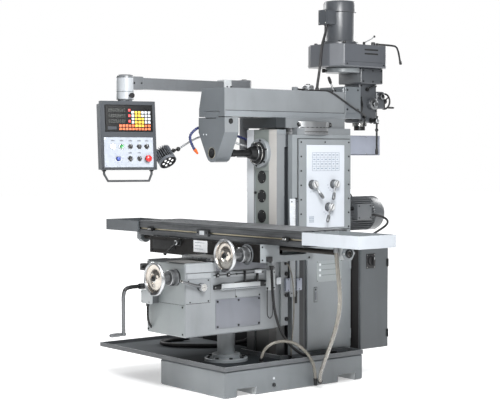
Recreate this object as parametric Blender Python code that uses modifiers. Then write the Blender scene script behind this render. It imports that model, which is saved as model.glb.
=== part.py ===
"""Universal milling machine: knee-type machine with a horizontal spindle and arbor, a sliding ram with a
vertical head at its rear end, a swinging control pendant, and hand feeds on the knee and the saddle.

Metres, +Z up. x = 0 is the machine's centre plane, +X the operator's right, +Y the rear, and z = 0 the floor.
"""

import math

import bmesh
import bpy
from mathutils import Matrix, Vector

for old in list(bpy.data.objects):
    bpy.data.objects.remove(old, do_unlink=True)

# ---------------------------------------------------------------- driving dimensions
GAP = 0.0005  # between pieces that touch

BASE_HALF_X, BASE_Y0, BASE_Y1, BASE_TOP = 0.300, -0.610, 0.410, 0.147
CHANNEL_HEIGHT = 0.045
TRAY_X0, TRAY_X1, TRAY_Y0, TRAY_RIM = -0.920, 0.306, -0.618, 0.172
TRAY_FLOOR, TRAY_WALL = 0.1515, 0.005

COLUMN_HALF_X, COLUMN_Y0, COLUMN_Y1, COLUMN_TOP = 0.170, -0.024, 0.430, 1.420
WAY_HALF_X, WAY_FRONT, WAY_TOP = 0.133, -0.109, 1.450
SPINDLE_Z, SPINDLE_BORE = 1.315, 0.0565

TURRET_Y, TURRET_R = 0.160, 0.192
RAM_HALF_X, RAM_Y0, RAM_Y1, RAM_BOTTOM, RAM_TOP = 0.115, -0.468, 0.438, 1.517, 1.675
SUPPORT_Y0, SUPPORT_Y1 = -0.469, -0.370

HEAD_AXIS_Z = 1.600  # the head tilts about a line along Y at this height
QUILL_Y, QUILL_R, QUILL_BOTTOM = 0.665, 0.043, 1.478
HEAD_MOTOR_Y, HEAD_MOTOR_R = 0.500, 0.095
BELT_Z0, BELT_Z1 = 1.826, 1.960

KNEE_HALF_X, KNEE_Y0, KNEE_Y1, KNEE_Z0, KNEE_TOP = 0.180, -0.784, -0.1135, 0.330, 0.728
KNEE_SIDE_Y1 = -0.150
SCREW_Y = -0.368
SADDLE_X0, SADDLE_X1, SADDLE_Y0, SADDLE_Y1, SADDLE_TOP = -0.630, 0.400, -0.450, -0.118, 0.8265
TABLE_X0, TABLE_X1, TABLE_Y0, TABLE_Y1, TABLE_Z0, TABLE_TOP = -0.775, 0.723, -0.430, -0.120, 0.827, 0.912
SLOT_YS, SLOT_WIDTH = (-0.360, -0.275, -0.190), 0.016
LEADSCREW_Y, LEADSCREW_Z = -0.275, 0.800

CROSS_WHEEL = (0.093, 0.649)  # x, z of its axis, along Y
TABLE_WHEEL = (0.287, 0.767)
CRANK = (-0.080, 0.595)
WHEEL_R = 0.090

POST = (-0.220, -0.060)
PENDANT = (-0.220, -0.896)
PENDANT_Z, PENDANT_YAW, PENDANT_TILT = 1.405, math.radians(-16), math.radians(5.6)
PENDANT_W, PENDANT_H, PENDANT_D = 0.315, 0.375, 0.090
PENDANT_FORWARD = 0.017  # the box hangs in front of its pipe, so the collar meets the middle of its top

# ---------------------------------------------------------------- scene helpers
parts = bpy.data.collections.new("milling_machine")
cutters = bpy.data.collections.new("milling_machine_cutters")
bpy.context.scene.collection.children.link(parts)
bpy.context.scene.collection.children.link(cutters)


def material(name, colour, roughness, metallic):
    made = bpy.data.materials.new(name)
    made.use_nodes = True
    shader = made.node_tree.nodes["Principled BSDF"]
    shader.inputs["Base Color"].default_value = (*colour, 1)
    shader.inputs["Roughness"].default_value = roughness
    shader.inputs["Metallic"].default_value = metallic
    made.diffuse_color = (*colour, 1)
    return made


PAINT = ((0.22, 0.24, 0.25), 0.45, 0.0)
PALE = ((0.40, 0.43, 0.44), 0.45, 0.0)
DARK = ((0.09, 0.10, 0.11), 0.45, 0.0)
LIGHT = ((0.62, 0.65, 0.68), 0.4, 0.0)
STEEL = ((0.55, 0.55, 0.55), 0.3, 1.0)
CHROME = ((0.75, 0.75, 0.75), 0.12, 1.0)
IRON = ((0.16, 0.155, 0.15), 0.5, 0.6)
BLACK = ((0.015, 0.015, 0.016), 0.4, 0.0)
RED = ((0.6, 0.02, 0.02), 0.35, 0.0)
GREEN = ((0.0, 0.25, 0.09), 0.35, 0.0)
BLUE = ((0.01, 0.09, 0.38), 0.35, 0.0)
HOSE = ((0.45, 0.41, 0.33), 0.3, 0.0)


def link(name, mesh, place=(0, 0, 0)):
    made = bpy.data.objects.new(name, mesh)
    made.location = place
    parts.objects.link(made)
    return made


def from_bmesh(name, shape, place=(0, 0, 0)):
    mesh = bpy.data.meshes.new(name)
    bmesh.ops.recalc_face_normals(shape, faces=shape.faces)
    shape.to_mesh(mesh)
    shape.free()
    return link(name, mesh, place)


def box(name, low, high, bevel=0.0):
    low, high = Vector(low), Vector(high)
    shape = bmesh.new()
    bmesh.ops.create_cube(shape, size=1)
    bmesh.ops.scale(shape, vec=high - low, verts=shape.verts)
    made = from_bmesh(name, shape, (low + high) / 2)
    if bevel:
        add = made.modifiers.new("bevel", "BEVEL")
        add.width, add.segments, add.limit_method = bevel, 1, "ANGLE"
    return made


def turn_to(axis):
    """Rotation that takes local Z to axis."""
    return Vector((0, 0, 1)).rotation_difference(Vector(axis).normalized()).to_matrix().to_4x4()


def rod(name, start, end, radius, radius_end=None, segments=20):
    """A cylinder or cone between two points."""
    start, end = Vector(start), Vector(end)
    shape = bmesh.new()
    bmesh.ops.create_cone(
        shape, cap_ends=True, segments=segments, radius1=radius,
        radius2=radius if radius_end is None else radius_end, depth=(end - start).length,
    )
    bmesh.ops.transform(shape, matrix=turn_to(end - start), verts=shape.verts)
    return from_bmesh(name, shape, (start + end) / 2)


def ball(name, centre, radius):
    shape = bmesh.new()
    bmesh.ops.create_uvsphere(shape, u_segments=14, v_segments=8, radius=radius)
    return from_bmesh(name, shape, centre)


def turned(name, origin, axis, profile, steps=32):
    """A lathe shape: profile gives (radius, distance along axis), from the far end down its outer side."""
    mesh = bpy.data.meshes.new(name)
    mesh.from_pydata([(r, 0, s) for r, s in profile], [(i, i + 1) for i in range(len(profile) - 1)], [])
    made = link(name, mesh, origin)
    made.rotation_euler = turn_to(axis).to_euler()
    add = made.modifiers.new("turn", "SCREW")
    add.axis, add.angle, add.steps, add.render_steps = "Z", math.tau, steps, steps
    add.use_merge_vertices, add.merge_threshold = True, 1e-5
    add.use_smooth_shade = False
    return made


def ring(name, origin, axis, inner, outer, s0, s1, steps=32):
    """A plain tube: a closed profile turned about axis."""
    mesh = bpy.data.meshes.new(name)
    corners = [(inner, 0, s1), (outer, 0, s1), (outer, 0, s0), (inner, 0, s0)]
    mesh.from_pydata(corners, [(0, 1), (1, 2), (2, 3), (3, 0)], [])
    made = link(name, mesh, origin)
    made.rotation_euler = turn_to(axis).to_euler()
    add = made.modifiers.new("turn", "SCREW")
    add.axis, add.angle, add.steps, add.render_steps = "Z", math.tau, steps, steps
    add.use_merge_vertices, add.merge_threshold = True, 1e-5
    add.use_smooth_shade = False
    return made


PLANES = {
    "xy": Matrix(((1, 0, 0, 0), (0, 1, 0, 0), (0, 0, 1, 0), (0, 0, 0, 1))),
    "xz": Matrix(((1, 0, 0, 0), (0, 0, -1, 0), (0, 1, 0, 0), (0, 0, 0, 1))),
    "yz": Matrix(((0, 0, 1, 0), (1, 0, 0, 0), (0, 1, 0, 0), (0, 0, 0, 1))),
}


def prism(name, outline, plane, d0, d1):
    """A flat outline, drawn in a plane, extruded from d0 to d1 along the third axis."""
    curve = bpy.data.curves.new(name, "CURVE")
    curve.dimensions, curve.fill_mode, curve.extrude = "2D", "BOTH", abs(d1 - d0) / 2
    spline = curve.splines.new("POLY")
    spline.points.add(len(outline) - 1)
    for point, (u, v) in zip(spline.points, outline):
        point.co = (u, v, 0, 1)
    spline.use_cyclic_u = True
    drawn = bpy.data.objects.new(name + "_outline", curve)
    bpy.context.scene.collection.objects.link(drawn)
    bpy.context.view_layer.update()
    mesh = bpy.data.meshes.new_from_object(drawn.evaluated_get(bpy.context.evaluated_depsgraph_get()))
    bpy.data.objects.remove(drawn, do_unlink=True)
    shape = bmesh.new()
    shape.from_mesh(mesh)
    bpy.data.meshes.remove(mesh)
    bmesh.ops.remove_doubles(shape, verts=shape.verts, dist=1e-6)
    bmesh.ops.transform(shape, matrix=PLANES[plane], verts=shape.verts)
    middle = (d0 + d1) / 2
    return from_bmesh(name, shape, {"xy": (0, 0, middle), "xz": (0, middle, 0), "yz": (middle, 0, 0)}[plane])


def smooth(points, each=4):
    """Points on a smooth line through the given ones."""
    points = [Vector(p) for p in points]
    ends = [2 * points[0] - points[1], *points, 2 * points[-1] - points[-2]]
    found = []
    for a, b, c, d in zip(ends, ends[1:], ends[2:], ends[3:]):
        for i in range(each):
            t = i / each
            found.append(
                0.5 * (2 * b + (c - a) * t + (2 * a - 5 * b + 4 * c - d) * t * t + (3 * b - a - 3 * c + d) * t**3)
            )
    return [*found, points[-1]]


def tube(name, points, radius, sides=1, as_mesh=False):
    """A round bar, cable or hose along points."""
    curve = bpy.data.curves.new(name, "CURVE")
    curve.dimensions, curve.bevel_depth, curve.bevel_resolution, curve.use_fill_caps = "3D", radius, sides, True
    spline = curve.splines.new("POLY")
    spline.points.add(len(points) - 1)
    for point, place in zip(spline.points, points):
        point.co = (*place, 1)
    made = bpy.data.objects.new(name, curve)
    if not as_mesh:
        parts.objects.link(made)
        return made
    bpy.context.scene.collection.objects.link(made)
    bpy.context.view_layer.update()
    mesh = bpy.data.meshes.new_from_object(made.evaluated_get(bpy.context.evaluated_depsgraph_get()))
    bpy.data.objects.remove(made, do_unlink=True)
    shape = bmesh.new()
    shape.from_mesh(mesh)
    bpy.data.meshes.remove(mesh)
    bmesh.ops.remove_doubles(shape, verts=shape.verts, dist=1e-6)
    return from_bmesh(name, shape)


def helper(made):
    parts.objects.unlink(made)
    cutters.objects.link(made)
    made.hide_render = True
    made.display_type = "WIRE"


def boolean(made, other, operation):
    add = made.modifiers.new(operation.lower(), "BOOLEAN")
    add.operation, add.solver, add.object = operation, "EXACT", other
    helper(other)


def join(made, *others):
    for other in others:
        boolean(made, other, "UNION")
    return made


def cut(made, *others):
    for other in others:
        boolean(made, other, "DIFFERENCE")
    return made


def finish(made, look, parent=None):
    made.data.materials.clear()
    made.data.materials.append(material(made.name + "_material", *look))
    if parent is not None:
        bpy.context.view_layer.update()
        made.parent = parent
        made.matrix_parent_inverse = parent.matrix_world.inverted()
    return made


def pivot(name, place, parent=None):
    made = bpy.data.objects.new(name, None)
    made.empty_display_size = 0.05
    made.location = place
    parts.objects.link(made)
    bpy.context.view_layer.update()
    if parent is not None:
        made.parent = parent
        made.matrix_parent_inverse = parent.matrix_world.inverted()
        bpy.context.view_layer.update()
    return made


# ---------------------------------------------------------------- base, tray and column
base = box("base_casting", (-BASE_HALF_X, BASE_Y0, 0), (BASE_HALF_X, BASE_Y1, BASE_TOP), 0.008)
cut(
    base,
    box("channel_front", (-0.4, -0.525, -0.02), (0.4, -0.395, CHANNEL_HEIGHT)),
    box("channel_rear", (-0.4, 0.215, -0.02), (0.4, 0.345, CHANNEL_HEIGHT)),
)
finish(base, PAINT)

w = TRAY_WALL
tray = prism(
    "chip_tray",
    [(TRAY_X0, TRAY_Y0), (TRAY_X1, TRAY_Y0), (TRAY_X1, 0.405), (0.175, 0.405), (0.175, -0.1135), (-0.175, -0.1135),
     (-0.175, 0.05), (TRAY_X0, 0.05)],
    "xy", BASE_TOP + GAP, TRAY_RIM,
)
cut(
    tray,
    prism(
        "tray_inside",
        [(TRAY_X0 + w, TRAY_Y0 + w), (TRAY_X1 - w, TRAY_Y0 + w), (TRAY_X1 - w, 0.405 - w), (0.175 + w, 0.405 - w),
         (0.175 + w, -0.1135 - w), (-0.175 - w, -0.1135 - w), (-0.175 - w, 0.05 - w), (TRAY_X0 + w, 0.05 - w)],
        "xy", TRAY_FLOOR, TRAY_RIM + 0.05,
    ),
)
finish(tray, PAINT)

column = box("column_casting", (-COLUMN_HALF_X, COLUMN_Y0, BASE_TOP + GAP), (COLUMN_HALF_X, COLUMN_Y1, COLUMN_TOP))
join(
    column,
    box("way_block", (-WAY_HALF_X, WAY_FRONT, BASE_TOP + GAP), (WAY_HALF_X, 0.01, COLUMN_TOP - 0.002)),
    box("way_cap", (-WAY_HALF_X + 0.001, WAY_FRONT + 0.001, COLUMN_TOP - 0.05), (WAY_HALF_X - 0.001, -0.040, WAY_TOP)),
)
cut(
    column,
    box("way_recess", (-0.064, -0.15, 0.1), (0.064, -0.101, 1.215)),
    box("groove_right", (0.112, -0.052, 0.1), (0.2, -0.027, 1.35)),
    box("groove_left", (-0.2, -0.052, 0.1), (-0.112, -0.027, 1.35)),
    rod("spindle_bore", (0, -0.2, SPINDLE_Z), (0, 0.22, SPINDLE_Z), SPINDLE_BORE, segments=32),
    box("column_core", (-0.13, 0.04, 0.1), (0.13, 0.39, 1.10)),
)
finish(column, PAINT)

panel = box("gear_panel", (COLUMN_HALF_X + GAP, 0.018, 0.875), (0.182, 0.416, 1.395))
join(panel, box("gear_plate", (0.178, 0.073, 0.886), (0.187, 0.364, 1.362)))
finish(panel, PAINT)

finish(box("rear_box", (-0.170, COLUMN_Y1 + GAP, 1.302), (-0.060, 0.900, 1.424)), LIGHT)

motor = turned(
    "main_motor", (0, COLUMN_Y1 + GAP, 0.950), (0, 1, 0),
    [(0, 0.362), (0.060, 0.358), (0.090, 0.338), (0.103, 0.305), (0.105, 0.280), (0.105, 0.020), (0.125, 0.020), (0.125, 0), (0, 0)],
    28,
)
join(motor, box("terminal_box", (0.06, 0.522, 0.920), (0.140, 0.631, 1.010)))
finish(motor, DARK)

shell = box("cabinet_shell", (-0.240, COLUMN_Y1 + GAP, 0.160), (0.240, 0.665, 0.763))
cut(shell, box("cabinet_inside", (-0.234, 0.4365, 0.166), (0.3, 0.659, 0.757)))
finish(shell, PAINT)

door_pivot = pivot("cabinet_door_axis", (0.252, 0.664, 0.46))
finish(box("cabinet_door", (0.2405, 0.434, 0.163), (0.252, 0.662, 0.760)), PAINT, door_pivot)
switch_pivot = pivot("main_switch_axis", (0.252, 0.522, 0.680), door_pivot)
switch = rod("main_switch", (0.2525, 0.522, 0.680), (0.266, 0.522, 0.680), 0.030)
join(switch, box("switch_bar", (0.262, 0.516, 0.652), (0.280, 0.528, 0.708)))
finish(switch, BLACK, switch_pivot)

cover_pivot = pivot("column_door_axis", (0.182, 0.426, 0.46))
finish(box("column_door", (COLUMN_HALF_X + GAP, 0.082, 0.178), (0.181, 0.424, 0.752)), PAINT, cover_pivot)

# gear levers: chrome hub on the panel and a tapered handle
for number, (y, z, tip_y, tip_z) in enumerate(
    ((0.109, 1.136, 0.153, 1.064), (0.276, 1.136, 0.237, 1.056), (0.236, 1.004, 0.192, 0.928)), 1
):
    lever = rod(f"gear_lever_{number}", (0.187 + GAP, y, z), (0.224, y, z), 0.026, 0.024)
    join(lever, rod(f"gear_handle_{number}", (0.205, y, z), (0.232, tip_y, tip_z), 0.0055, 0.0095, 12))
    finish(lever, CHROME, pivot(f"gear_lever_{number}_axis", (0.19, y, z)))

# ---------------------------------------------------------------- elevating screw
pedestal = turned(
    "screw_pedestal", (0, SCREW_Y, TRAY_FLOOR + GAP), (0, 0, 1),
    [(0, 0.008), (0.0295, 0.008), (0.0295, 0.348), (0.050, 0.348), (0.050, 0.040), (0.080, 0.040), (0.080, 0.018),
     (0.1225, 0.018), (0.1225, 0), (0, 0)],
)
finish(pedestal, STEEL)

# ---------------------------------------------------------------- horizontal spindle and arbor
spindle_pivot = pivot("spindle_axis", (0, -0.120, SPINDLE_Z))
spindle = turned(
    "spindle", (0, -0.120, SPINDLE_Z), (0, -1, 0),
    [(0, -0.100), (0.0205, -0.100), (0.0205, 0.034), (0.062, 0.034), (0.062, 0.014), (0.083, 0.014),
     (0.083, -0.0105), (0.0555, -0.0105), (0.0555, -0.330), (0, -0.330)],
    36,
)
finish(spindle, STEEL, spindle_pivot)
arbor = turned(
    "arbor", (0, -0.120, SPINDLE_Z), (0, -1, 0),
    [(0, 0.353), (0.0125, 0.353), (0.0138, 0.350), (0.0138, 0.215), (0.0215, 0.215), (0.0215, 0.187), (0.0185, 0.187),
     (0.0185, 0.140), (0.017, 0.139), (0.017, 0.137), (0.0185, 0.136), (0.0185, 0.085), (0.045, 0.085),
     (0.045, 0.0345), (0.020, 0.0345), (0.020, -0.095), (0, -0.095)],
    24,
)
finish(arbor, BLACK, spindle_pivot)

# ---------------------------------------------------------------- turret, ram and arbor support
turret = box("turret_base", (-0.170, 0.014, COLUMN_TOP + GAP), (0.170, 0.428, 1.458))
join(
    turret,
    rod("turret_ring", (0, TURRET_Y, COLUMN_TOP + GAP + 0.001), (0, TURRET_Y, 1.4965), TURRET_R, segments=40),
    box("turret_slide", (-0.150, -0.125, 1.4585), (0.150, 0.400, 1.5165)),
    prism("turret_rail", [(-0.053, 1.490), (0.053, 1.490), (0.070, 1.546), (-0.070, 1.546)], "xz", -0.124, 0.399),
)
finish(turret, PAINT)

ram_pivot = pivot("ram_axis", (0, 0, 1.6))
ram = prism(
    "ram_casting",
    [(-0.118, RAM_BOTTOM), (RAM_HALF_X, RAM_BOTTOM), (RAM_HALF_X, RAM_TOP), (-0.090, RAM_TOP), (-0.118, 1.56)],
    "xz", RAM_Y0, RAM_Y1,
)
join(
    ram,
    box("ram_adaptor", (-0.105, 0.430, 1.558), (0.105, 0.566, 1.708), 0.006),
    rod("ram_flange", (0, 0.55, HEAD_AXIS_Z), (0, 0.575, HEAD_AXIS_Z), 0.085, segments=28),
)
cut(ram, prism("ram_dovetail", [(-0.0608, 1.50), (0.0608, 1.50), (0.0722, 1.5475), (-0.0722, 1.5475)], "xz", -0.6, 0.6))
finish(ram, PAINT, ram_pivot)

lock_pivot = pivot("ram_lock_axis", (0.06, 0.398, RAM_TOP), ram_pivot)
lock = rod("ram_lock_lever", (0.06, 0.398, RAM_TOP + GAP), (0.06, 0.398, 1.690), 0.011)
join(lock, rod("ram_lock_rod", (0.06, 0.398, 1.684), (0.06, 0.360, 1.752), 0.0045, segments=10),
     rod("ram_lock_grip", (0.06, 0.364, 1.745), (0.06, 0.353, 1.766), 0.008, segments=12))
finish(lock, BLACK, lock_pivot)

support_pivot = pivot("arbor_support_axis", (0, -0.42, SPINDLE_Z), ram_pivot)
low = [(0.052 * math.cos(math.radians(a)), SPINDLE_Z + 0.052 * math.sin(math.radians(a))) for a in range(-25, -156, -26)]
support = prism(
    "arbor_support", [(-0.121, 1.430), (-0.121, 1.513), (0.118, 1.513), (0.118, 1.430), *low], "xz", SUPPORT_Y0, SUPPORT_Y1
)
join(support, prism("support_tongue", [(-0.055, 1.495), (0.055, 1.495), (0.0685, 1.545), (-0.0685, 1.545)], "xz",
                    SUPPORT_Y0 + 0.001, SUPPORT_Y1 - 0.001))
cut(support, rod("support_bore", (0, -0.6, SPINDLE_Z), (0, -0.3, SPINDLE_Z), 0.0146, segments=24))
finish(support, PAINT, support_pivot)

# ---------------------------------------------------------------- work lamp and coolant nozzle
lamp_joint = Vector((-0.250, -0.517, 1.338))
lamp_arm = tube(
    "lamp_arm",
    smooth([(-0.152, -0.0246, 1.350), (-0.152, -0.040, 1.350), (-0.152, -0.060, 1.350), (-0.154, -0.12, 1.360), (-0.164, -0.25, 1.395), (-0.180, -0.36, 1.415),
            (-0.207, -0.44, 1.392), lamp_joint], 3),
    0.0065, 1, True,
)
join(lamp_arm, ball("lamp_ball", lamp_joint, 0.013))
finish(lamp_arm, CHROME)

lamp_pivot = pivot("lamp_axis", lamp_joint)
lamp_way = Vector((0.66, 0.05, -0.72)).normalized()
lamp_centre = Vector((-0.297, -0.577, 1.296))
lamp = turned(
    "lamp_head", lamp_centre, lamp_way,
    [(0, 0.046), (0.050, 0.046), (0.052, 0.033), (0.052, -0.022), (0.038, -0.048), (0, -0.052)], 24,
)
neck = (lamp_centre - lamp_way * 0.02 - lamp_joint).normalized()
join(lamp, rod("lamp_neck", lamp_joint + neck * 0.0145, lamp_centre - lamp_way * 0.02, 0.008, segments=12))
finish(lamp, DARK, lamp_pivot)

nozzle_points = smooth(
    [(-0.152, -0.0246, 1.388), (-0.152, -0.040, 1.388), (-0.152, -0.055, 1.388), (-0.152, -0.10, 1.396), (-0.150, -0.25, 1.436), (-0.148, -0.38, 1.468),
     (-0.148, -0.452, 1.457), (-0.148, -0.499, 1.425), (-0.148, -0.508, 1.394), (-0.148, -0.487, 1.349),
     (-0.148, -0.459, 1.316)], 3)
finish(tube("coolant_nozzle", nozzle_points, 0.008, 1), BLUE)

# ---------------------------------------------------------------- vertical head on the ram's rear end
head_pivot = pivot("head_axis", (0, 0.58, HEAD_AXIS_Z), ram_pivot)
head = box("head_casting", (-0.070, 0.600, 1.500), (0.070, 0.745, 1.740), 0.010)
join(
    head,
    rod("head_flange", (0, 0.5755, HEAD_AXIS_Z), (0, 0.615, HEAD_AXIS_Z), 0.085, segments=28),
    box("head_gearbox", (-0.100, 0.582, 1.733), (0.100, 0.765, 1.8250)),
    rod("head_ring", (0, 0.525, 1.797), (0, 0.525, 1.8245), 0.105, segments=32),
    rod("head_hub", (0.05, 0.690, 1.612), (0.100, 0.690, 1.612), 0.034, segments=24),
    box("feed_box", (0.000, 0.735, 1.585), (0.078, 0.800, 1.690)),
)
cut(head, rod("quill_bore", (0, QUILL_Y, 1.40), (0, QUILL_Y, 1.745), QUILL_R + 0.0005, segments=32))
finish(head, DARK, head_pivot)

belt = prism(
    "belt_housing",
    [(0.160, 0.390), (0.160, 0.730), (0.105, 0.785), (-0.105, 0.785), (-0.160, 0.730), (-0.160, 0.390), (-0.085, 0.335),
     (0.085, 0.335)],
    "xy", BELT_Z0, BELT_Z1,
)
finish(belt, DARK, head_pivot)

head_motor = turned(
    "head_motor", (0, HEAD_MOTOR_Y, BELT_Z1 + GAP), (0, 0, 1),
    [(0, 0.262), (0.085, 0.262), (0.098, 0.252), (0.098, 0.195), (0.094, 0.195), (0.094, 0.014), (0.110, 0.014),
     (0.110, 0), (0, 0)],
    32,
)
join(head_motor, box("head_motor_box", (-0.020, 0.345, 2.076), (0.050, 0.43, 2.161)))
finish(head_motor, PAINT, head_pivot)

brake_pivot = pivot("brake_lever_axis", (0.06, 0.720, BELT_Z1), head_pivot)
brake = rod("brake_lever", (0.06, 0.720, BELT_Z1 + GAP), (0.06, 0.720, 1.984), 0.011)
join(brake, tube("brake_rod", [(0.06, 0.715, 1.977), (0.06, 0.895, 1.977), (0.06, 0.914, 1.974), (0.06, 0.926, 1.958),
                               (0.06, 0.940, 1.915), (0.06, 0.952, 1.880)], 0.005, 1, True),
     rod("brake_grip", (0.06, 0.946, 1.897), (0.06, 0.957, 1.864), 0.0075, 0.009, 12))
finish(brake, BLACK, brake_pivot)

quill_pivot = pivot("quill_axis", (0, QUILL_Y, QUILL_BOTTOM), head_pivot)
quill = ring("quill", (0, QUILL_Y, QUILL_BOTTOM), (0, 0, 1), 0.026, QUILL_R, 0, 0.222)
finish(quill, STEEL, quill_pivot)
vertical = turned(
    "vertical_spindle", (0, QUILL_Y, QUILL_BOTTOM), (0, 0, 1),
    [(0, 0.215), (0.0255, 0.215), (0.0255, -GAP), (0.034, -GAP), (0.034, -0.024), (0.015, -0.024), (0.012, 0.030),
     (0, 0.030)],
)
finish(vertical, STEEL, quill_pivot)

wheel_at = Vector((0.040, 0.838, 1.633))
wheel_pivot = pivot("quill_wheel_axis", wheel_at, head_pivot)
wheel = ring("quill_handwheel", wheel_at, (0, 1, 0), 0.041, 0.051, -0.005, 0.005, 28)
join(
    wheel,
    rod("quill_wheel_hub", wheel_at + Vector((0, -0.0375, 0)), wheel_at + Vector((0, 0.006, 0)), 0.011, segments=16),
    *[
        rod(f"quill_wheel_spoke_{i}", wheel_at, wheel_at + Vector((0.045 * math.cos(a), 0, 0.045 * math.sin(a))), 0.004, segments=8)
        for i, a in enumerate((0.6, 0.6 + math.tau / 3, 0.6 + 2 * math.tau / 3))
    ],
    rod("quill_wheel_grip", wheel_at + Vector((0.026, 0, -0.0385)), wheel_at + Vector((0.026, 0.055, -0.0385)), 0.006, segments=10),
)
finish(wheel, BLACK, wheel_pivot)

lever_pivot = pivot("quill_lever_axis", (0.10, 0.692, 1.512), head_pivot)
quill_lever = rod("quill_lever", (0.0705, 0.692, 1.512), (0.132, 0.692, 1.512), 0.017)
join(quill_lever, rod("quill_lever_rod", (0.122, 0.692, 1.512), (0.122, 0.692, 1.305), 0.005, segments=10),
     ball("quill_lever_ball", (0.122, 0.692, 1.455), 0.009))
finish(quill_lever, BLACK, lever_pivot)

# ---------------------------------------------------------------- knee
knee_pivot = pivot("knee_axis", (0, SCREW_Y, 0.5))
knee = box("knee_casting", (-KNEE_HALF_X, KNEE_Y0, KNEE_Z0), (KNEE_HALF_X, KNEE_SIDE_Y1, KNEE_TOP), 0.006)
join(knee, box("cable_elbow", (0.170, -0.223, 0.690), (0.224, -0.193, 0.7215)))
join(knee, box("knee_neck", (-0.152, -0.170, KNEE_Z0 + 0.002), (0.152, KNEE_Y1, KNEE_TOP - 0.002)))
for side, name in ((1, "right"), (-1, "left")):
    low_x, high_x = WAY_HALF_X + 0.0015, 0.166
    join(
        knee,
        box(f"gib_root_{name}", (min(side * low_x, side * 0.1515), -0.135, 0.335), (max(side * low_x, side * 0.1515), -0.080, 0.724)),
        box(f"gib_{name}", (min(side * low_x, side * high_x), -0.1045, 0.340), (max(side * low_x, side * high_x), -0.053, 0.722)),
    )
cut(knee, box("knee_core", (-0.140, -0.740, 0.2), (0.140, -0.165, 0.600)))
finish(knee, PALE, knee_pivot)

screw = rod("elevating_screw", (0, SCREW_Y, 0.240), (0, SCREW_Y, 0.600 - GAP), 0.028, segments=24)
finish(screw, STEEL, knee_pivot)

feed_pivot = pivot("feed_lever_axis", (0.18, -0.684, 0.597), knee_pivot)
feed = rod("feed_lever", (KNEE_HALF_X + GAP, -0.684, 0.597), (0.216, -0.684, 0.597), 0.021)
join(feed, rod("feed_rod", (0.202, -0.684, 0.597), (0.207, -0.815, 0.634), 0.005, segments=10),
     rod("feed_grip", (0.2066, -0.792, 0.6275), (0.2082, -0.834, 0.639), 0.0075, segments=12))
finish(feed, CHROME, feed_pivot)


def handwheel(name, x, z, seat_y, wheel_y, parent):
    """A dished wheel on a shaft along Y, with its dial at the seat and a grip on its rim."""
    deep = seat_y - wheel_y
    centre = (x, seat_y, z)
    made = turned(
        name, centre, (0, -1, 0),
        [(0, deep + 0.016), (0.014, deep + 0.016), (0.018, deep + 0.004), (0.076, deep - 0.006), (0.079, deep + 0.010),
         (0.085, deep + 0.012), (WHEEL_R, deep + 0.004), (WHEEL_R, deep - 0.004), (0.085, deep - 0.012),
         (0.075, deep - 0.012), (0.026, deep - 0.010), (0.022, deep - 0.030), (0.022, 0.052), (0.040, 0.050),
         (0.042, 0.010), (0.046, 0.009), (0.046, GAP), (0, GAP)],
        28,
    )
    join(made, rod(name + "_grip", (x + 0.030, wheel_y, z - 0.0735), (x + 0.030, wheel_y - 0.046, z - 0.0735), 0.010, 0.012, 14))
    return finish(made, CHROME, pivot(name + "_axis", centre, parent))


handwheel("cross_handwheel", *CROSS_WHEEL, KNEE_Y0, -0.922, knee_pivot)

crank_pivot = pivot("knee_crank_axis", (CRANK[0], KNEE_Y0, CRANK[1]), knee_pivot)
x, z = CRANK
crank = rod("knee_crank", (x, KNEE_Y0 - GAP, z), (x, -0.900, z), 0.016)
join(
    crank,
    tube("crank_bar", smooth([(x, -0.86, z), (x, -0.96, z), (x, -0.992, z - 0.010), (x, -1.004, z - 0.045), (x, -1.004, z - 0.15),
                              (x, -1.004, z - 0.262)], 2), 0.011, 1, True),
    rod("crank_grip", (x, -0.990, z - 0.252), (x, -1.092, z - 0.252), 0.009, 0.011, 14),
)
finish(crank, BLACK, crank_pivot)

# ---------------------------------------------------------------- saddle
saddle_pivot = pivot("saddle_axis", (0, -0.28, KNEE_TOP), knee_pivot)
saddle = box("saddle_casting", (SADDLE_X0, SADDLE_Y0, KNEE_TOP + GAP), (SADDLE_X1, SADDLE_Y1, SADDLE_TOP))
join(saddle, box("saddle_end", (0.235, -0.130, KNEE_TOP + GAP + 0.001), (SADDLE_X1 - 0.001, -0.070, 0.812)))
cut(
    saddle,
    box("screw_tunnel", (-0.8, -0.315, 0.765), (0.6, -0.235, 0.9)),
    box("saddle_window", (0.330, -0.290, 0.762), (0.6, -0.122, 0.804)),
)
finish(saddle, IRON, saddle_pivot)
handwheel("table_handwheel", *TABLE_WHEEL, SADDLE_Y0, -0.600, saddle_pivot)

table_feed_pivot = pivot("table_feed_axis", (-0.331, SADDLE_Y0, 0.800), saddle_pivot)
table_feed = rod("table_feed_lever", (-0.331, SADDLE_Y0 - GAP, 0.800), (-0.331, -0.480, 0.800), 0.013)
join(table_feed, rod("table_feed_rod", (-0.331, -0.474, 0.800), (-0.418, -0.488, 0.735), 0.0045, segments=10),
     ball("table_feed_ball", (-0.421, -0.4885, 0.732), 0.010))
finish(table_feed, CHROME, table_feed_pivot)

# ---------------------------------------------------------------- table
table_pivot = pivot("table_axis", (0, LEADSCREW_Y, TABLE_Z0), saddle_pivot)
table = box("table", (TABLE_X0, TABLE_Y0, TABLE_Z0), (TABLE_X1, TABLE_Y1, TABLE_TOP))
for number, y in enumerate(SLOT_YS, 1):
    cut(
        table,
        box(f"slot_{number}", (-0.9, y - SLOT_WIDTH / 2, 0.888), (0.9, y + SLOT_WIDTH / 2, 0.95)),
        box(f"slot_tee_{number}", (-0.91, y - 0.014, 0.877), (0.91, y + 0.014, 0.890)),
    )
cut(table, box("stop_groove", (-0.9, -0.5, 0.858), (0.9, -0.420, 0.870)))
finish(table, IRON, table_pivot)

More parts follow.
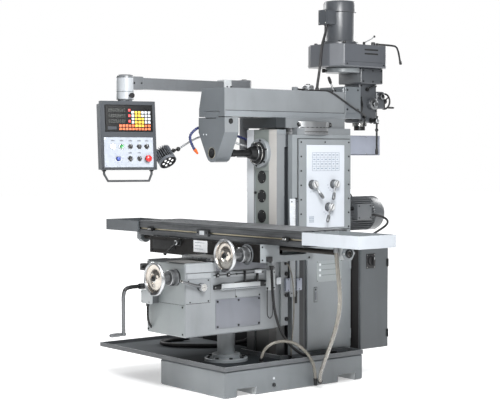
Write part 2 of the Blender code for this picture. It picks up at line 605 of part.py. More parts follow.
for name, x0, x1 in (("left_tray", -1.122, TABLE_X0 - GAP), ("right_tray", TABLE_X1 + GAP, 1.145)):
    tray = box(name, (x0, -0.440, 0.841), (x1, -0.180, 0.906))
    cut(tray, box(name + "_inside", (x0 + 0.003, -0.437, 0.844), (x1 - 0.003, -0.183, 1.0)))
    finish(tray, LIGHT if name == "right_tray" else PAINT, table_pivot)

for name, x0, x1 in (("left_bracket", -0.965, -0.923), ("right_bracket", 0.848, 0.893)):
    bracket = box(name, (x0, -0.315, 0.785), (x1, -0.235, 0.841 - GAP))
    join(bracket, rod(name + "_boss", (x0, LEADSCREW_Y, LEADSCREW_Z), (x1, LEADSCREW_Y, LEADSCREW_Z), 0.036, segments=24))
    cut(bracket, rod(name + "_bore", (x0 - 0.1, LEADSCREW_Y, LEADSCREW_Z), (x1 + 0.1, LEADSCREW_Y, LEADSCREW_Z), 0.0145))
    finish(bracket, DARK, table_pivot)
finish(rod("lead_screw", (-0.972, LEADSCREW_Y, LEADSCREW_Z), (0.906, LEADSCREW_Y, LEADSCREW_Z), 0.014), STEEL,
       pivot("lead_screw_axis", (0, LEADSCREW_Y, LEADSCREW_Z), table_pivot))

# ---------------------------------------------------------------- pendant
post = box("pendant_post", (-0.252, -0.092, 1.290), (-COLUMN_HALF_X - GAP, 0.080, 1.335))
join(post, rod("post_bar", (*POST, 1.31), (*POST, 1.6645), 0.028, segments=24))
finish(post, PAINT)

arm_pivot = pivot("pendant_arm_axis", (*POST, 1.70))
arm = box("pendant_arm", (-0.250, -0.875, 1.6655), (-0.190, -0.070, 1.728))
join(
    arm,
    rod("arm_hub", (*POST, 1.665), (*POST, 1.740), 0.042, segments=28),
    rod("arm_pipe", (*PENDANT, 1.606), (*PENDANT, 1.733), 0.047, segments=28),
)
finish(arm, PALE, arm_pivot)

panel_pivot = pivot("pendant_axis", (*PENDANT, PENDANT_Z), arm_pivot)
face = (
    Matrix.Translation((*PENDANT, PENDANT_Z))
    @ Matrix.Rotation(PENDANT_YAW, 4, "Z")
    @ Matrix.Rotation(-PENDANT_TILT, 4, "Y")
    @ Matrix.Translation((PENDANT_FORWARD, 0, 0))
)  # local X out of the panel's face, Y along it, Z up it


def on_face(made):
    """Turns a piece drawn in the panel's own directions to where the panel hangs."""
    bpy.context.view_layer.update()
    made.matrix_world = face @ made.matrix_world
    return made


hw, hh, hd = PENDANT_W / 2, PENDANT_H / 2, PENDANT_D / 2
pendant = on_face(box("pendant_box", (-hd, -hw + 0.008, -hh + 0.008), (hd - 0.012, hw - 0.008, hh - 0.008)))
join(
    pendant,
    on_face(box("pendant_frame", (hd - 0.020, -hw, -hh), (hd, hw, hh))),
    rod("pendant_collar", (*PENDANT, PENDANT_Z + 0.15), (*PENDANT, 1.6055), 0.040, segments=24),
    on_face(tube("pendant_handle", [(0.01, -0.135, -hh + 0.03), (0.012, -0.135, -hh - 0.020), (0.014, -0.115, -hh - 0.058),
                                    (0.014, 0.118, -hh - 0.058), (0.012, 0.135, -hh - 0.020), (0.01, 0.135, -hh + 0.03)],
                 0.007, 1, True)),
)
finish(pendant, PAINT, panel_pivot)


def control(name, u, v, radius, base_x, out, look, bar=False):
    """A push button or knob on the panel's face, u across and v down it, as shares of its width and height."""
    y, z = (u - 0.5) * PENDANT_W, (0.5 - v) * PENDANT_H
    made = on_face(rod(name, (hd + base_x, y, z), (hd + out, y, z), radius, segments=20))
    if bar:
        join(made, on_face(box(name + "_bar", (hd + out - 0.004, y - 0.0035, z - radius * 0.9), (hd + out + 0.006, y + 0.0035, z + radius * 0.9))))
    axis = pivot(name + "_axis", face @ Vector((hd, y, z)), panel_pivot)
    return finish(made, look, axis)


control("start_button", 0.367, 0.664, 0.011, 0.0045, 0.012, GREEN)
control("selector_1", 0.525, 0.664, 0.011, 0.0025, 0.009, BLACK, True)
control("selector_2", 0.683, 0.664, 0.011, 0.0025, 0.009, BLACK, True)
control("selector_3", 0.820, 0.664, 0.011, 0.0025, 0.009, BLACK, True)
control("speed_knob", 0.299, 0.840, 0.012, 0.0025, 0.016, BLUE, True)
control("stop_button", 0.515, 0.840, 0.011, 0.0045, 0.012, BLACK)
control("selector_4", 0.680, 0.840, 0.011, 0.0025, 0.009, BLACK, True)
control("emergency_button", 0.830, 0.840, 0.017, 0.0065, 0.028, RED)

# ---------------------------------------------------------------- cables and hoses
finish(
    tube("knee_cable", smooth(
        [(0.207, -0.208, 0.690 - GAP), (0.207, -0.208, 0.675), (0.208, -0.208, 0.650), (0.213, -0.209, 0.600), (0.219, -0.208, 0.520),
         (0.227, -0.197, 0.420), (0.236, -0.165, 0.325), (0.244, -0.108, 0.245), (0.248, -0.035, 0.189), (0.246, 0.030, 0.1650),
         (0.243, 0.090, 0.1605), (0.240, 0.150, 0.1605), (0.238, 0.200, 0.1605)], 3), 0.008, 1), BLACK)
finish(
    tube("drain_hose", smooth(
        [(0.868, -0.333, 0.841 - GAP), (0.868, -0.333, 0.826), (0.868, -0.331, 0.790), (0.868, -0.322, 0.715), (0.868, -0.312, 0.640),
         (0.866, -0.304, 0.560), (0.846, -0.295, 0.475), (0.795, -0.270, 0.394), (0.710, -0.220, 0.314), (0.610, -0.157, 0.236),
         (0.515, -0.096, 0.164), (0.432, -0.042, 0.100), (0.375, 0.005, 0.052), (0.336, 0.042, 0.024)], 3), 0.011, 1), HOSE)
finish(
    tube("tray_hose", smooth(
        [(0.215, -0.290, TRAY_FLOOR + GAP), (0.217, -0.288, 0.185), (0.228, -0.272, 0.230), (0.250, -0.222, 0.264), (0.278, -0.140, 0.266),
         (0.305, -0.066, 0.225), (0.322, -0.008, 0.150), (0.326, 0.010, 0.085), (0.324, 0.018, 0.022)], 3), 0.009, 1), HOSE)
finish(
    tube("head_cable", smooth(
        [(0.030, 0.361, 2.076 - GAP), (0.030, 0.361, 2.066), (0.031, 0.358, 2.040), (0.036, 0.341, 2.000), (0.042, 0.321, 1.960),
         (0.046, 0.309, 1.915), (0.047, 0.302, 1.860), (0.045, 0.293, 1.790), (0.042, 0.284, 1.730), (0.041, 0.280, 1.696),
         (0.041, 0.280, RAM_TOP + GAP)], 3), 0.008, 1), BLACK, head_pivot)
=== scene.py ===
"""Looks of the universal milling machine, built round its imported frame."""

import math

import bmesh
import bpy
from mathutils import Matrix, Vector


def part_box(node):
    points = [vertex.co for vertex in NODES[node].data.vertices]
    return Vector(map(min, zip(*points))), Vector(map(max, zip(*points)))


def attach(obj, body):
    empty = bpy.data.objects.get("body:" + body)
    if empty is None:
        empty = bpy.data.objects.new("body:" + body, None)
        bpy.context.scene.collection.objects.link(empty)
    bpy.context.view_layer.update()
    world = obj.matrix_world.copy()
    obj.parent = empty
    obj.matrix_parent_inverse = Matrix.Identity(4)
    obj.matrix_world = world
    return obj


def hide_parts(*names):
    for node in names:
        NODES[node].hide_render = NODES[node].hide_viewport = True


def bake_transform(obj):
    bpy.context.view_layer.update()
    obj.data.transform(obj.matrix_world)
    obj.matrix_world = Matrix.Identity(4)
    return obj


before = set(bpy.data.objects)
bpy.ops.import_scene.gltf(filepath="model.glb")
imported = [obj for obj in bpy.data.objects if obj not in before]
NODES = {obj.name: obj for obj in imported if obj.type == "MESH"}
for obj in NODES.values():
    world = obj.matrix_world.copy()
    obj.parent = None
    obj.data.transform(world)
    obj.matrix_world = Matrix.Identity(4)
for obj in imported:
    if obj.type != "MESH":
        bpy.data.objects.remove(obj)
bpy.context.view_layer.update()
scene = bpy.context.scene


# ------------------------------------------------------------------ camera

AZ, PITCH = math.radians(50.89), math.radians(1.99)
back = Vector((math.sin(AZ) * math.cos(PITCH), -math.cos(AZ) * math.cos(PITCH), math.sin(PITCH)))
right = Vector((math.cos(AZ), math.sin(AZ), 0))
up = back.cross(right)
lens = bpy.data.cameras.new("camera")
lens.lens, lens.sensor_width, lens.sensor_fit = 93.43, 36, "HORIZONTAL"
lens.clip_start, lens.clip_end = 0.05, 200
camera = bpy.data.objects.new("camera", lens)
camera.matrix_world = Matrix.Translation((5.725, -4.849, 1.305)) @ Matrix((right, up, back)).transposed().to_4x4()
scene.collection.objects.link(camera)
scene.camera = camera
scene.view_settings.view_transform = "Standard"
scene.view_settings.look = "None"


# --------------------------------------------------------------- materials


def lin(*rgb):
    """A linear colour from the 0-255 values of a screen colour."""
    return tuple((c / 255 / 12.92) if c / 255 <= 0.04045 else ((c / 255 + 0.055) / 1.055) ** 2.4 for c in rgb) + (1,)


class Shader:
    """A Principled material whose pattern is in the row frame."""

    def __init__(self, name):
        self.mat = bpy.data.materials.new(name)
        self.mat.use_nodes = True
        self.tree = self.mat.node_tree
        self.main = self.tree.nodes["Principled BSDF"]
        self.where = self.tree.nodes.new("ShaderNodeTexCoord").outputs["Object"]

    def node(self, kind, **sockets):
        made = self.tree.nodes.new(kind)
        for key, value in sockets.items():
            spot = made.inputs[key.replace("_", " ")] if isinstance(key, str) else made.inputs[key]
            if isinstance(value, bpy.types.NodeSocket):
                self.tree.links.new(value, spot)
            else:
                spot.default_value = value
        return made

    def link(self, a, b):
        self.tree.links.new(a, b)

    def place(self, scale=(1, 1, 1), turn=(0, 0, 0)):
        made = self.node("ShaderNodeMapping", Vector=self.where)
        made.inputs["Scale"].default_value = scale
        made.inputs["Rotation"].default_value = turn
        return made.outputs[0]

    def noise(self, scale, detail=3.0, rough=0.55, where=None):
        return self.node("ShaderNodeTexNoise", Vector=where or self.where, Scale=scale, Detail=detail, Roughness=rough).outputs["Fac"]

    def spread(self, value, low, high, start=0.3, stop=0.7):
        made = self.node("ShaderNodeMapRange", Value=value)
        made.inputs["From Min"].default_value, made.inputs["From Max"].default_value = start, stop
        made.inputs["To Min"].default_value, made.inputs["To Max"].default_value = low, high
        return made.outputs[0]

    def mix(self, fac, a, b, kind="MIX"):
        made = self.tree.nodes.new("ShaderNodeMix")
        made.data_type, made.blend_type = "RGBA", kind
        for spot, value in ((made.inputs[0], fac), (made.inputs[6], a), (made.inputs[7], b)):
            if isinstance(value, bpy.types.NodeSocket):
                self.link(value, spot)
            else:
                spot.default_value = value
        return made.outputs[2]

    def bump(self, height, strength, distance, under=None):
        made = self.node("ShaderNodeBump", Height=height, Strength=strength, Distance=distance)
        if under is not None:
            self.link(under, made.inputs["Normal"])
        return made.outputs[0]

    def done(self, color, rough, normal=None, metal=0.0, **sockets):
        for key, value in (("Base Color", color), ("Roughness", rough), ("Normal", normal)):
            if isinstance(value, bpy.types.NodeSocket):
                self.link(value, self.main.inputs[key])
            elif value is not None:
                self.main.inputs[key].default_value = value
        self.main.inputs["Metallic"].default_value = metal
        for key, value in sockets.items():
            self.main.inputs[key.replace("_", " ")].default_value = value
        return self.mat


def tone(rgb, by):
    return lin(*(max(0, min(255, c * by)) for c in rgb))


def paint(name, rgb, rough=0.36, grain=420, depth=0.00022, vary=0.06, coat=0.25, **sockets):
    """Machine enamel with a fine hammered skin, faint clouding and oil smears."""
    s = Shader(name)
    cloud = s.noise(2.6, 4)
    smear = s.noise(5, 5, 0.6, s.place((1.6, 1.6, 0.35)))
    speck = s.noise(900, 2)
    base = s.mix(s.spread(cloud, 0, 1), tone(rgb, 1 - vary), tone(rgb, 1 + vary))
    base = s.mix(s.spread(smear, 0, 0.22, 0.55, 0.8), base, tone(rgb, 0.62))
    base = s.mix(s.spread(speck, 0, 0.16, 0.45, 0.75), base, tone(rgb, 1.22))
    cells = s.node("ShaderNodeTexVoronoi", Vector=s.where, Scale=grain)
    cells.feature = "SMOOTH_F1"
    skin_ = s.bump(cells.outputs["Distance"], 0.35, depth)
    waves = s.bump(s.noise(14, 2), 0.12, 0.004, skin_)
    return s.done(base, s.spread(smear, rough - 0.06, rough + 0.12), waves, Coat_Weight=coat, Coat_Roughness=0.28, **sockets)


def steel(name, rgb, rough=0.26, along=(1, 1, 1), vary=0.1, depth=0.00006, scale=90, metal=1.0, **sockets):
    """Ground or turned metal: fine lines along the tool's path, and oil patches."""
    s = Shader(name)
    lines = s.noise(scale, 4, 0.7, s.place(along))
    patch = s.noise(6, 4, 0.6)
    base = s.mix(s.spread(lines, 0, 1), tone(rgb, 1 - vary), tone(rgb, 1 + vary))
    base = s.mix(s.spread(patch, 0, 0.35, 0.5, 0.8), base, tone(rgb, 0.7))
    fine = s.bump(lines, 0.5, depth)
    return s.done(base, s.spread(patch, rough - 0.06, rough + 0.1), fine, metal, **sockets)


def plastic(name, rgb, rough=0.42, grain=1500, depth=0.00004, vary=0.05, **sockets):
    """Moulded plastic, rubber or lacquer with a fine grain and handling marks."""
    s = Shader(name)
    grainy = s.noise(grain, 2)
    mark = s.noise(30, 5, 0.65)
    base = s.mix(s.spread(mark, 0, 1), tone(rgb, 1 - vary), tone(rgb, 1 + vary))
    return s.done(base, s.spread(mark, rough - 0.07, rough + 0.1), s.bump(grainy, 0.4, depth), **sockets)


def bands(name, axis, stops, rough=0.34, coat=0.2, vary=0.05, shade_below=None, **sockets):
    """Paint or ground metal whose tone goes in bands along one axis of the row frame, with an optional painted shade
    towards the bottom.
    """
    s = Shader(name)
    parts_ = s.node("ShaderNodeSeparateXYZ", Vector=s.where)
    low, high = stops[0][0], stops[-1][0]
    along = s.spread(parts_.outputs[axis], 0, 1, low, high)
    ramp_ = s.node("ShaderNodeValToRGB", Fac=along)
    marks = ramp_.color_ramp.elements
    while len(marks) < len(stops):
        marks.new(0.5)
    for mark, (at, rgb) in zip(marks, stops):
        mark.position = (at - low) / (high - low)
    for mark, (at, rgb) in zip(marks, stops):
        mark.color = lin(*rgb)
    cloud = s.noise(4, 4)
    base = s.mix(s.spread(cloud, 0, 1), tone((255, 255, 255), 1 - vary), lin(255, 255, 255))
    base = s.mix(1.0, ramp_.outputs[0], base, "MULTIPLY")
    # Painted shade: the tuple's third number darkens the colour below its first height, fading back to full tone at its
    # second height.
    if shade_below:
        base = s.mix(s.spread(parts_.outputs["Z"], 0, 1, shade_below[0], shade_below[1]), s.mix(1.0, base, tone((255, 255, 255), shade_below[2]), "MULTIPLY"), base)
    lines = s.noise(120, 3, 0.6, s.place((1, 1, 0.05)))
    return s.done(base, s.spread(cloud, rough - 0.05, rough + 0.1), s.bump(lines, 0.3, 0.00002), Coat_Weight=coat, Coat_Roughness=0.25, **sockets)


def grey(*values):
    return [(at, (v, v + 4, v + 7)) for at, v in values]


def glow(name, rgb, power, rough=0.3):
    s = Shader(name)
    base = s.mix(s.spread(s.noise(400, 2), 0, 1), tone(rgb, 0.9), tone(rgb, 1.05))
    return s.done(base, rough, None, Emission_Color=lin(*rgb), Emission_Strength=power)


PAINT = paint("enamel_grey", (122, 127, 130))
PAINT_TOP = paint("enamel_ram", (113, 117, 120))
# A darker copy of the ram enamel; on the ram's and the arbor support's front and lower faces it is painted shade.
PAINT_NOSE = paint("enamel_nose", (94, 99, 103))
PAINT_KNEE = paint("enamel_knee", (134, 140, 141))
# Painted shade: a darker copy of the knee enamel for the knee's sides.
KNEE_SIDE = paint("enamel_knee_side", (122, 126, 129))
PAINT_BASE = paint("enamel_base", (122, 127, 130))
# Painted shade: a darker copy of the base enamel for the base's +X side.
PAINT_SIDE = paint("enamel_base_side", (106, 111, 114))
PAINT_HEAD = paint("enamel_head", (76, 79, 84))
PAINT_GEAR = paint("enamel_gearbox", (65, 68, 72))
PAINT_CAN = paint("enamel_head_motor", (64, 67, 71))
PAINT_CAB = paint("enamel_cabinet", (70, 74, 77), rough=0.42, grain=700, depth=0.00012)
PAINT_PALE = paint("enamel_pale", (144, 149, 162), rough=0.45, grain=800, depth=0.0001)
# Painted shade and reflection: the tray floor is light at its left end and darkens towards the knee, where it lies in
# shade.
PAINT_TRAY = bands("enamel_tray", "X", grey((-0.62, 112), (-0.22, 40)), rough=0.42, coat=0.0, vary=0.12, Specular_IOR_Level=0.06)
PAINT_RIM = paint("enamel_rim", (84, 87, 90), rough=0.42)
PAINT_DARK = paint("enamel_dark", (34, 35, 37), rough=0.45, coat=0.0, Specular_IOR_Level=0.2)
PAINT_BEAM = paint("enamel_beam", (92, 95, 98), rough=0.36, grain=800, depth=0.0001)
PAINT_SADDLE = paint("enamel_saddle", (126, 131, 134), rough=0.36, grain=800, depth=0.0001)
PAINT_POST = paint("enamel_pedestal", (118, 123, 126), rough=0.34)
PAINT_FRONT = paint("enamel_front", (172, 177, 184))
PAINT_LEDGE = paint("enamel_ledge", (116, 121, 125))
PAINT_WING = paint("enamel_wing", (87, 92, 96), rough=0.4)
PAINT_COVER = paint("enamel_cover", (104, 107, 114), rough=0.42, grain=800, depth=0.0001)
PAINT_BRIGHT = paint("enamel_bright", (174, 179, 185), rough=0.4, grain=900, depth=0.0001, vary=0.03)
PAINT_ARM = paint("enamel_arm", (176, 180, 182), rough=0.4, grain=800, depth=0.0001)
PAINT_BOX = paint("enamel_pendant", (62, 65, 69), rough=0.55, grain=1100, depth=0.00012, coat=0.0, Specular_IOR_Level=0.12)
PAINT_CASE = paint("enamel_pendant_case", (102, 106, 110), rough=0.5, grain=1100, depth=0.00012, coat=0.0, Specular_IOR_Level=0.2)
PAINT_ELBOW = paint("enamel_elbow", (152, 156, 160), rough=0.42, grain=900, depth=0.0001)
PAINT_RAIL = paint("enamel_rail", (138, 142, 145), rough=0.4)
PAINT_MOTOR = paint("enamel_motor", (82, 85, 88), rough=0.38)
WHITE = paint("white_panel", (186, 191, 198), rough=0.4, grain=1200, depth=0.00006, vary=0.015, coat=0.1)
STEEL = steel("ground_steel", (196, 197, 196), 0.3, (1, 1, 0.06), vary=0.06, depth=0.00002)
# Painted shade: the way sides go dark where they run back into the recess behind the ways. This band and the two below
# it are darkened low down as painted shade under the knee.
WAYS = bands("column_ways", "Y", grey((-0.109, 120), (-0.045, 120), (-0.041, 46), (-0.024, 46)), shade_below=(0.30, 0.50, 0.42))
# Painted shade: the corner strip is dark where the gap beside the gib lies in shade.
CORNER = bands("column_corner", "X", grey((0.108, 46), (0.146, 46), (0.152, 118), (0.171, 118)), shade_below=(0.30, 0.50, 0.5))
FRONT = bands("column_front", "X", [(-0.133, (200, 204, 208)), (-0.072, (200, 204, 208)), (-0.067, (66, 69, 70)), (-0.063, (120, 127, 124)), (0.060, (120, 127, 124)), (0.070, (182, 180, 177)), (0.133, (182, 180, 177))], shade_below=(0.30, 0.50, 0.36))
# Painted shade: near-black tones for a sheet that stands in for the shaded gap on the column side.
GAP_SHADE = bands("gap_painted_shade", "Y", grey((0.03, 21), (0.058, 21), (0.062, 54), (0.0805, 54)), vary=0.15)
RING = steel("cap_steel", (212, 214, 216), 0.34, (1, 1, 1), vary=0.03, depth=0.00001, scale=160, metal=0.7)
TURRET = steel("turret_steel", (150, 152, 154), 0.3, (1, 1, 1), vary=0.03, depth=0.00001, scale=160, metal=0.9)
PAINT_TURRET = paint("enamel_turret", (110, 114, 117))
# Painted shadow: the turret slide is near black at its front, under the ram, and has the plain paint tone further back.
SLIDE = bands("turret_paint_shadowed_front", "Y", grey((-0.125, 38), (-0.062, 38), (-0.052, 110), (0.43, 110)))
STEEL_Y = steel("planed_steel", (182, 183, 182), 0.3, (1, 0.05, 1))
STEEL_X = steel("table_steel", (143, 145, 147), 0.3, (0.04, 1, 1))
TABLE_TOP = steel("table_top", (112, 114, 116), 0.5, (0.04, 1, 1), metal=0.35, Specular_IOR_Level=0.12)
STEEL_DARK = steel("dark_steel", (96, 98, 100), 0.36, (0.06, 1, 1), vary=0.16)
TURNED = steel("turned_steel", (190, 190, 188), 0.22, (1, 1, 1), scale=140)
CHROME = steel("chrome", (222, 223, 224), 0.1, (1, 1, 1), vary=0.03, depth=0.00001)
DISH = steel("champagne_dish", (206, 199, 190), 0.2, (1, 1, 1), vary=0.05, depth=0.00002, scale=60)
SATIN = steel("satin_rim", (186, 188, 190), 0.32, (1, 1, 1), scale=160)
STRIP = steel("groove_steel", (176, 168, 146), 0.34, (0.04, 1, 1))
SHEET = paint("cover_sheet", (92, 92, 91), rough=0.5, grain=900, depth=0.0001, coat=0.0, Specular_IOR_Level=0.3)
THREAD = steel("oiled_thread", (62, 60, 58), 0.42, (1, 1, 1), metal=0.8)
HANDLE = paint("handle_grey", (62, 64, 67), rough=0.5, coat=0.0, Specular_IOR_Level=0.3)
BAR = steel("drawn_bar", (120, 122, 124), 0.36, (1, 1, 0.1), vary=0.08, metal=0.9)
# Painted highlight: the lamp's fins and front rim are a lighter grey than the near-black body between the fins.
FIN_HIGHLIGHT = paint("lamp_fins_painted_highlight", (92, 96, 102), rough=0.34, grain=900, depth=0.0001)
BRASS = steel("brass", (196, 160, 92), 0.3, (1, 1, 1))
OXIDE = steel("black_oxide", (48, 49, 50), 0.33, (1, 1, 1), metal=0.7)
BLACK = plastic("black_plastic", (24, 24, 26))
RUBBER = plastic("black_rubber", (27, 27, 29), 0.55, 900, 0.0001)
# Painted shade for the cabinet's narrow face beside the column.
CABINET_SHADE = plastic("cabinet_side_painted_shade", (27, 25, 25), 0.46, 700, 0.0001, 0.12)
APRON = plastic("saddle_apron", (20, 18, 17), 0.5, 700, 0.0001, 0.12, Specular_IOR_Level=0.22)
LABEL = plastic("label_plate", (226, 228, 230), 0.45)
ROW = plastic("display_row", (17, 18, 19), 0.5, Specular_IOR_Level=0.1)
PRINT = plastic("panel_print", (86, 90, 98), 0.6)
SEAM = plastic("seam_shadow", (22, 23, 24), 0.7)
LINE = plastic("printed_line", (92, 98, 104), 0.5)
RED = plastic("red_plastic", (186, 22, 20), 0.3, Coat_Weight=0.4)
GREEN = plastic("green_plastic", (26, 130, 62), 0.3, Coat_Weight=0.4)
BLUE = plastic("blue_plastic", (22, 60, 150), 0.35, Coat_Weight=0.3)
YELLOW = plastic("yellow_keys", (236, 190, 30), 0.4)
ORANGE = plastic("orange_tip", (214, 98, 38), 0.45)
CREAM = plastic("pale_plastic", (196, 200, 204), 0.38)
PANEL = plastic("control_panel", (160, 166, 175), 0.55, Specular_IOR_Level=0.12)
FAINT = plastic("faint_print", (134, 144, 156), 0.5)
KEYGREEN = plastic("green_keys", (60, 150, 70), 0.4)
HOSE_BLUE = plastic("blue_hose", (22, 34, 84), 0.35)
GLASS = plastic("display_glass", (10, 11, 12), 0.3, Specular_IOR_Level=0.1)
DIGIT = glow("display_digit", (42, 50, 42), 0.04)
LED_RED = glow("display_red", (224, 34, 26), 0.5)
LED = glow("lamp_led", (244, 245, 246), 0.5)
HOSE = plastic("clear_hose", (158, 154, 145), 0.18, 300, 0.0002, 0.08, Transmission_Weight=0.5, IOR=1.3, Coat_Weight=0.4)


# ----------------------------------------------------------------- helpers


def turn_to(axis):
    return Vector((0, 0, 1)).rotation_difference(Vector(axis).normalized()).to_matrix().to_4x4()


class Piece:
    """One mesh built up from simple solids, each with its own material, in the row frame."""

    def __init__(self, matrix=None):
        self.bm, self.mats, self.matrix = bmesh.new(), [], matrix

    def slot(self, mat):
        if mat not in self.mats:
            self.mats.append(mat)
        return self.mats.index(mat)

    def take(self, bm, mat, matrix=None, recalc=True):
        whole = (self.matrix or Matrix()) @ (matrix or Matrix())
        bmesh.ops.transform(bm, matrix=whole, verts=bm.verts)
        if recalc:
            bmesh.ops.recalc_face_normals(bm, faces=bm.faces)
        if mat is not None:
            index = self.slot(mat)
            for f in bm.faces:
                f.material_index = index
        mesh = bpy.data.meshes.new("part")
        bm.to_mesh(mesh)
        bm.free()
        self.bm.from_mesh(mesh)
        bpy.data.meshes.remove(mesh)
        return self

    def box(self, low, high, mat, bevel=0.0015, seg=2, matrix=None):
        low, high = Vector(map(min, low, high)), Vector(map(max, low, high))
        size = high - low
        bm = bmesh.new()
        bmesh.ops.create_cube(bm, size=1)
        bmesh.ops.transform(bm, matrix=Matrix.Translation((low + high) / 2) @ Matrix.Diagonal((*size, 1)), verts=bm.verts)
        if bevel:
            bmesh.ops.bevel(bm, geom=bm.edges[:], offset=min(bevel, min(size) * 0.42), segments=seg, profile=0.6, affect="EDGES")
        return self.take(bm, mat, matrix)

    def lathe(self, origin, axis, profile, mat, seg=32, matrix=None, loop=False):
        """profile is (radius, distance) pairs; mat may be one material or one for each step."""
        bm = bmesh.new()
        rings = []
        for r, s in profile:
            if r < 1e-7:
                rings.append([bm.verts.new((0, 0, s))])
            else:
                rings.append([bm.verts.new((r * math.cos(2 * math.pi * i / seg), r * math.sin(2 * math.pi * i / seg), s)) for i in range(seg)])
        steps = list(zip(rings, rings[1:])) + ([(rings[-1], rings[0])] if loop else [])
        for k, (a, b) in enumerate(steps):
            index = self.slot(mat[k] if isinstance(mat, list) else mat)
            if len(a) == 1 and len(b) == 1:
                continue
            for i in range(seg):
                j = (i + 1) % seg
                corners = [a[0], b[i], b[j]] if len(a) == 1 else [a[i], a[j], b[0]] if len(b) == 1 else [a[i], a[j], b[j], b[i]]
                bm.faces.new(corners).material_index = index
        place = Matrix.Translation(origin) @ turn_to(axis)
        return self.take(bm, None, (matrix or Matrix()) @ place)

    def cyl(self, a, b, r, mat, seg=28, edge=0.001, matrix=None):
        a, b = Vector(a), Vector(b)
        n = (b - a).length
        e = min(edge, r * 0.4, n * 0.4)
        return self.lathe(a, b - a, [(0, 0), (r - e, 0), (r, e), (r, n - e), (r - e, n), (0, n)], mat, seg, matrix)

    def ball(self, at, r, mat, seg=20, matrix=None):
        steps = 12
        return self.lathe(at, (0, 0, 1), [(r * math.sin(math.pi * i / steps), -r * math.cos(math.pi * i / steps)) for i in range(steps + 1)], mat, seg, matrix)

    def torus(self, at, axis, big, small, mat, seg=40, sides=12, matrix=None):
        ring_ = [(big + small * math.cos(2 * math.pi * i / sides), small * math.sin(2 * math.pi * i / sides)) for i in range(sides)]
        return self.lathe(at, axis, ring_, mat, seg, matrix, loop=True)

    def tube(self, points, r, mat, seg=14, matrix=None, radii=None):
        points = [Vector(p) for p in points]
        bm = bmesh.new()
        rings, side = [], None
        for i, p in enumerate(points):
            along = (points[min(i + 1, len(points) - 1)] - points[max(i - 1, 0)]).normalized()
            if side is None:
                side = along.orthogonal().normalized()
            side = (side - along * side.dot(along)).normalized()
            other = along.cross(side)
            size = radii[i] if radii else r
            rings.append([bm.verts.new(p + (side * math.cos(2 * math.pi * k / seg) + other * math.sin(2 * math.pi * k / seg)) * size) for k in range(seg)])
        for a, b in zip(rings, rings[1:]):
            for k in range(seg):
                bm.faces.new((a[k], a[(k + 1) % seg], b[(k + 1) % seg], b[k]))
        bm.faces.new(rings[0])
        bm.faces.new(rings[-1])
        return self.take(bm, mat, matrix)

    def slab(self, outline, by, mat, bevel=0.0015, seg=2, matrix=None):
        """A flat outline pushed along a direction."""
        bm = bmesh.new()
        by = Vector(by)
        low = [bm.verts.new(p) for p in outline]
        high = [bm.verts.new(Vector(p) + by) for p in outline]
        bm.faces.new(low)
        bm.faces.new(high)
        for i in range(len(low)):
            j = (i + 1) % len(low)
            bm.faces.new((low[i], low[j], high[j], high[i]))
        bmesh.ops.recalc_face_normals(bm, faces=bm.faces)
        if bevel:
            sharp = [e for e in bm.edges if e.calc_face_angle(0) > math.radians(30)]
            bmesh.ops.bevel(bm, geom=sharp, offset=bevel, segments=seg, profile=0.6, affect="EDGES")
        return self.take(bm, mat, matrix)

    def screw(self, at, axis, r=0.006, mat=None, high=None):
        """A socket-head cap screw, seen from its head."""
        h = high or r * 0.9
        deep = h * 0.45
        steps = [(0, h - deep), (r * 0.5, h - deep), (r * 0.55, h), (r * 0.86, h), (r, h - r * 0.16), (r, 0), (0, 0)]
        return self.lathe(at, axis, steps, mat or OXIDE, 14)

    def hex(self, at, axis, r, high, mat):
        return self.lathe(at, axis, [(0, high), (r * 0.82, high), (r, high - r * 0.16), (r, 0), (0, 0)], mat, 6)

    def done(self, name, body, *nodes, angle=34):
        mesh = bpy.data.meshes.new(name)
        self.bm.to_mesh(mesh)
        self.bm.free()
        for m in self.mats:
            mesh.materials.append(m)
        mesh.shade_smooth()
        mesh.set_sharp_from_angle(angle=math.radians(angle))
        made = bpy.data.objects.new(name, mesh)
        scene.collection.objects.link(made)
        if body:
            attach(made, body)
        if nodes:
            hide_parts(*nodes)
        return made


def skin(node, body, mats, choose=None, bevel=0.003, seg=2, angle=35, soft=None):
    """A copy of a CAD node with rounded edges and its materials chosen face by face. soft says how round an edge is, from its middle."""
    src = NODES[node]
    bm = bmesh.new()
    points = [bm.verts.new(src.matrix_world @ v.co) for v in src.data.vertices]
    for p in src.data.polygons:
        try:
            bm.faces.new([points[i] for i in p.vertices])
        except ValueError:
            pass
    bmesh.ops.remove_doubles(bm, verts=bm.verts, dist=2e-5)
    bmesh.ops.dissolve_degenerate(bm, dist=1e-6, edges=bm.edges)
    bmesh.ops.recalc_face_normals(bm, faces=bm.faces)
    bmesh.ops.dissolve_limit(bm, angle_limit=math.radians(1), verts=bm.verts, edges=bm.edges)
    for f in bm.faces:
        f.material_index = choose(f.calc_center_median(), f.normal) if choose else 0
    round_by = bm.edges.layers.float.new("bevel_weight_edge")
    for e in bm.edges:
        if e.calc_face_angle(0) > math.radians(angle):
            e[round_by] = soft((e.verts[0].co + e.verts[1].co) / 2) if soft else 1.0
    mesh = bpy.data.meshes.new(node + "_skin")
    bm.to_mesh(mesh)
    bm.free()
    for m in mats:
        mesh.materials.append(m)
    mesh.shade_smooth()
    made = bpy.data.objects.new(node + "_skin", mesh)
    scene.collection.objects.link(made)
    if bevel:
        round_ = made.modifiers.new("rounded", "BEVEL")
        round_.width, round_.segments, round_.limit_method = bevel, seg, "WEIGHT"
        round_.harden_normals, round_.profile = True, 0.6
        round_.miter_outer = "MITER_ARC"
    else:
        mesh.set_sharp_from_angle(angle=math.radians(32))
    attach(made, body)
    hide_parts(node)
    return made


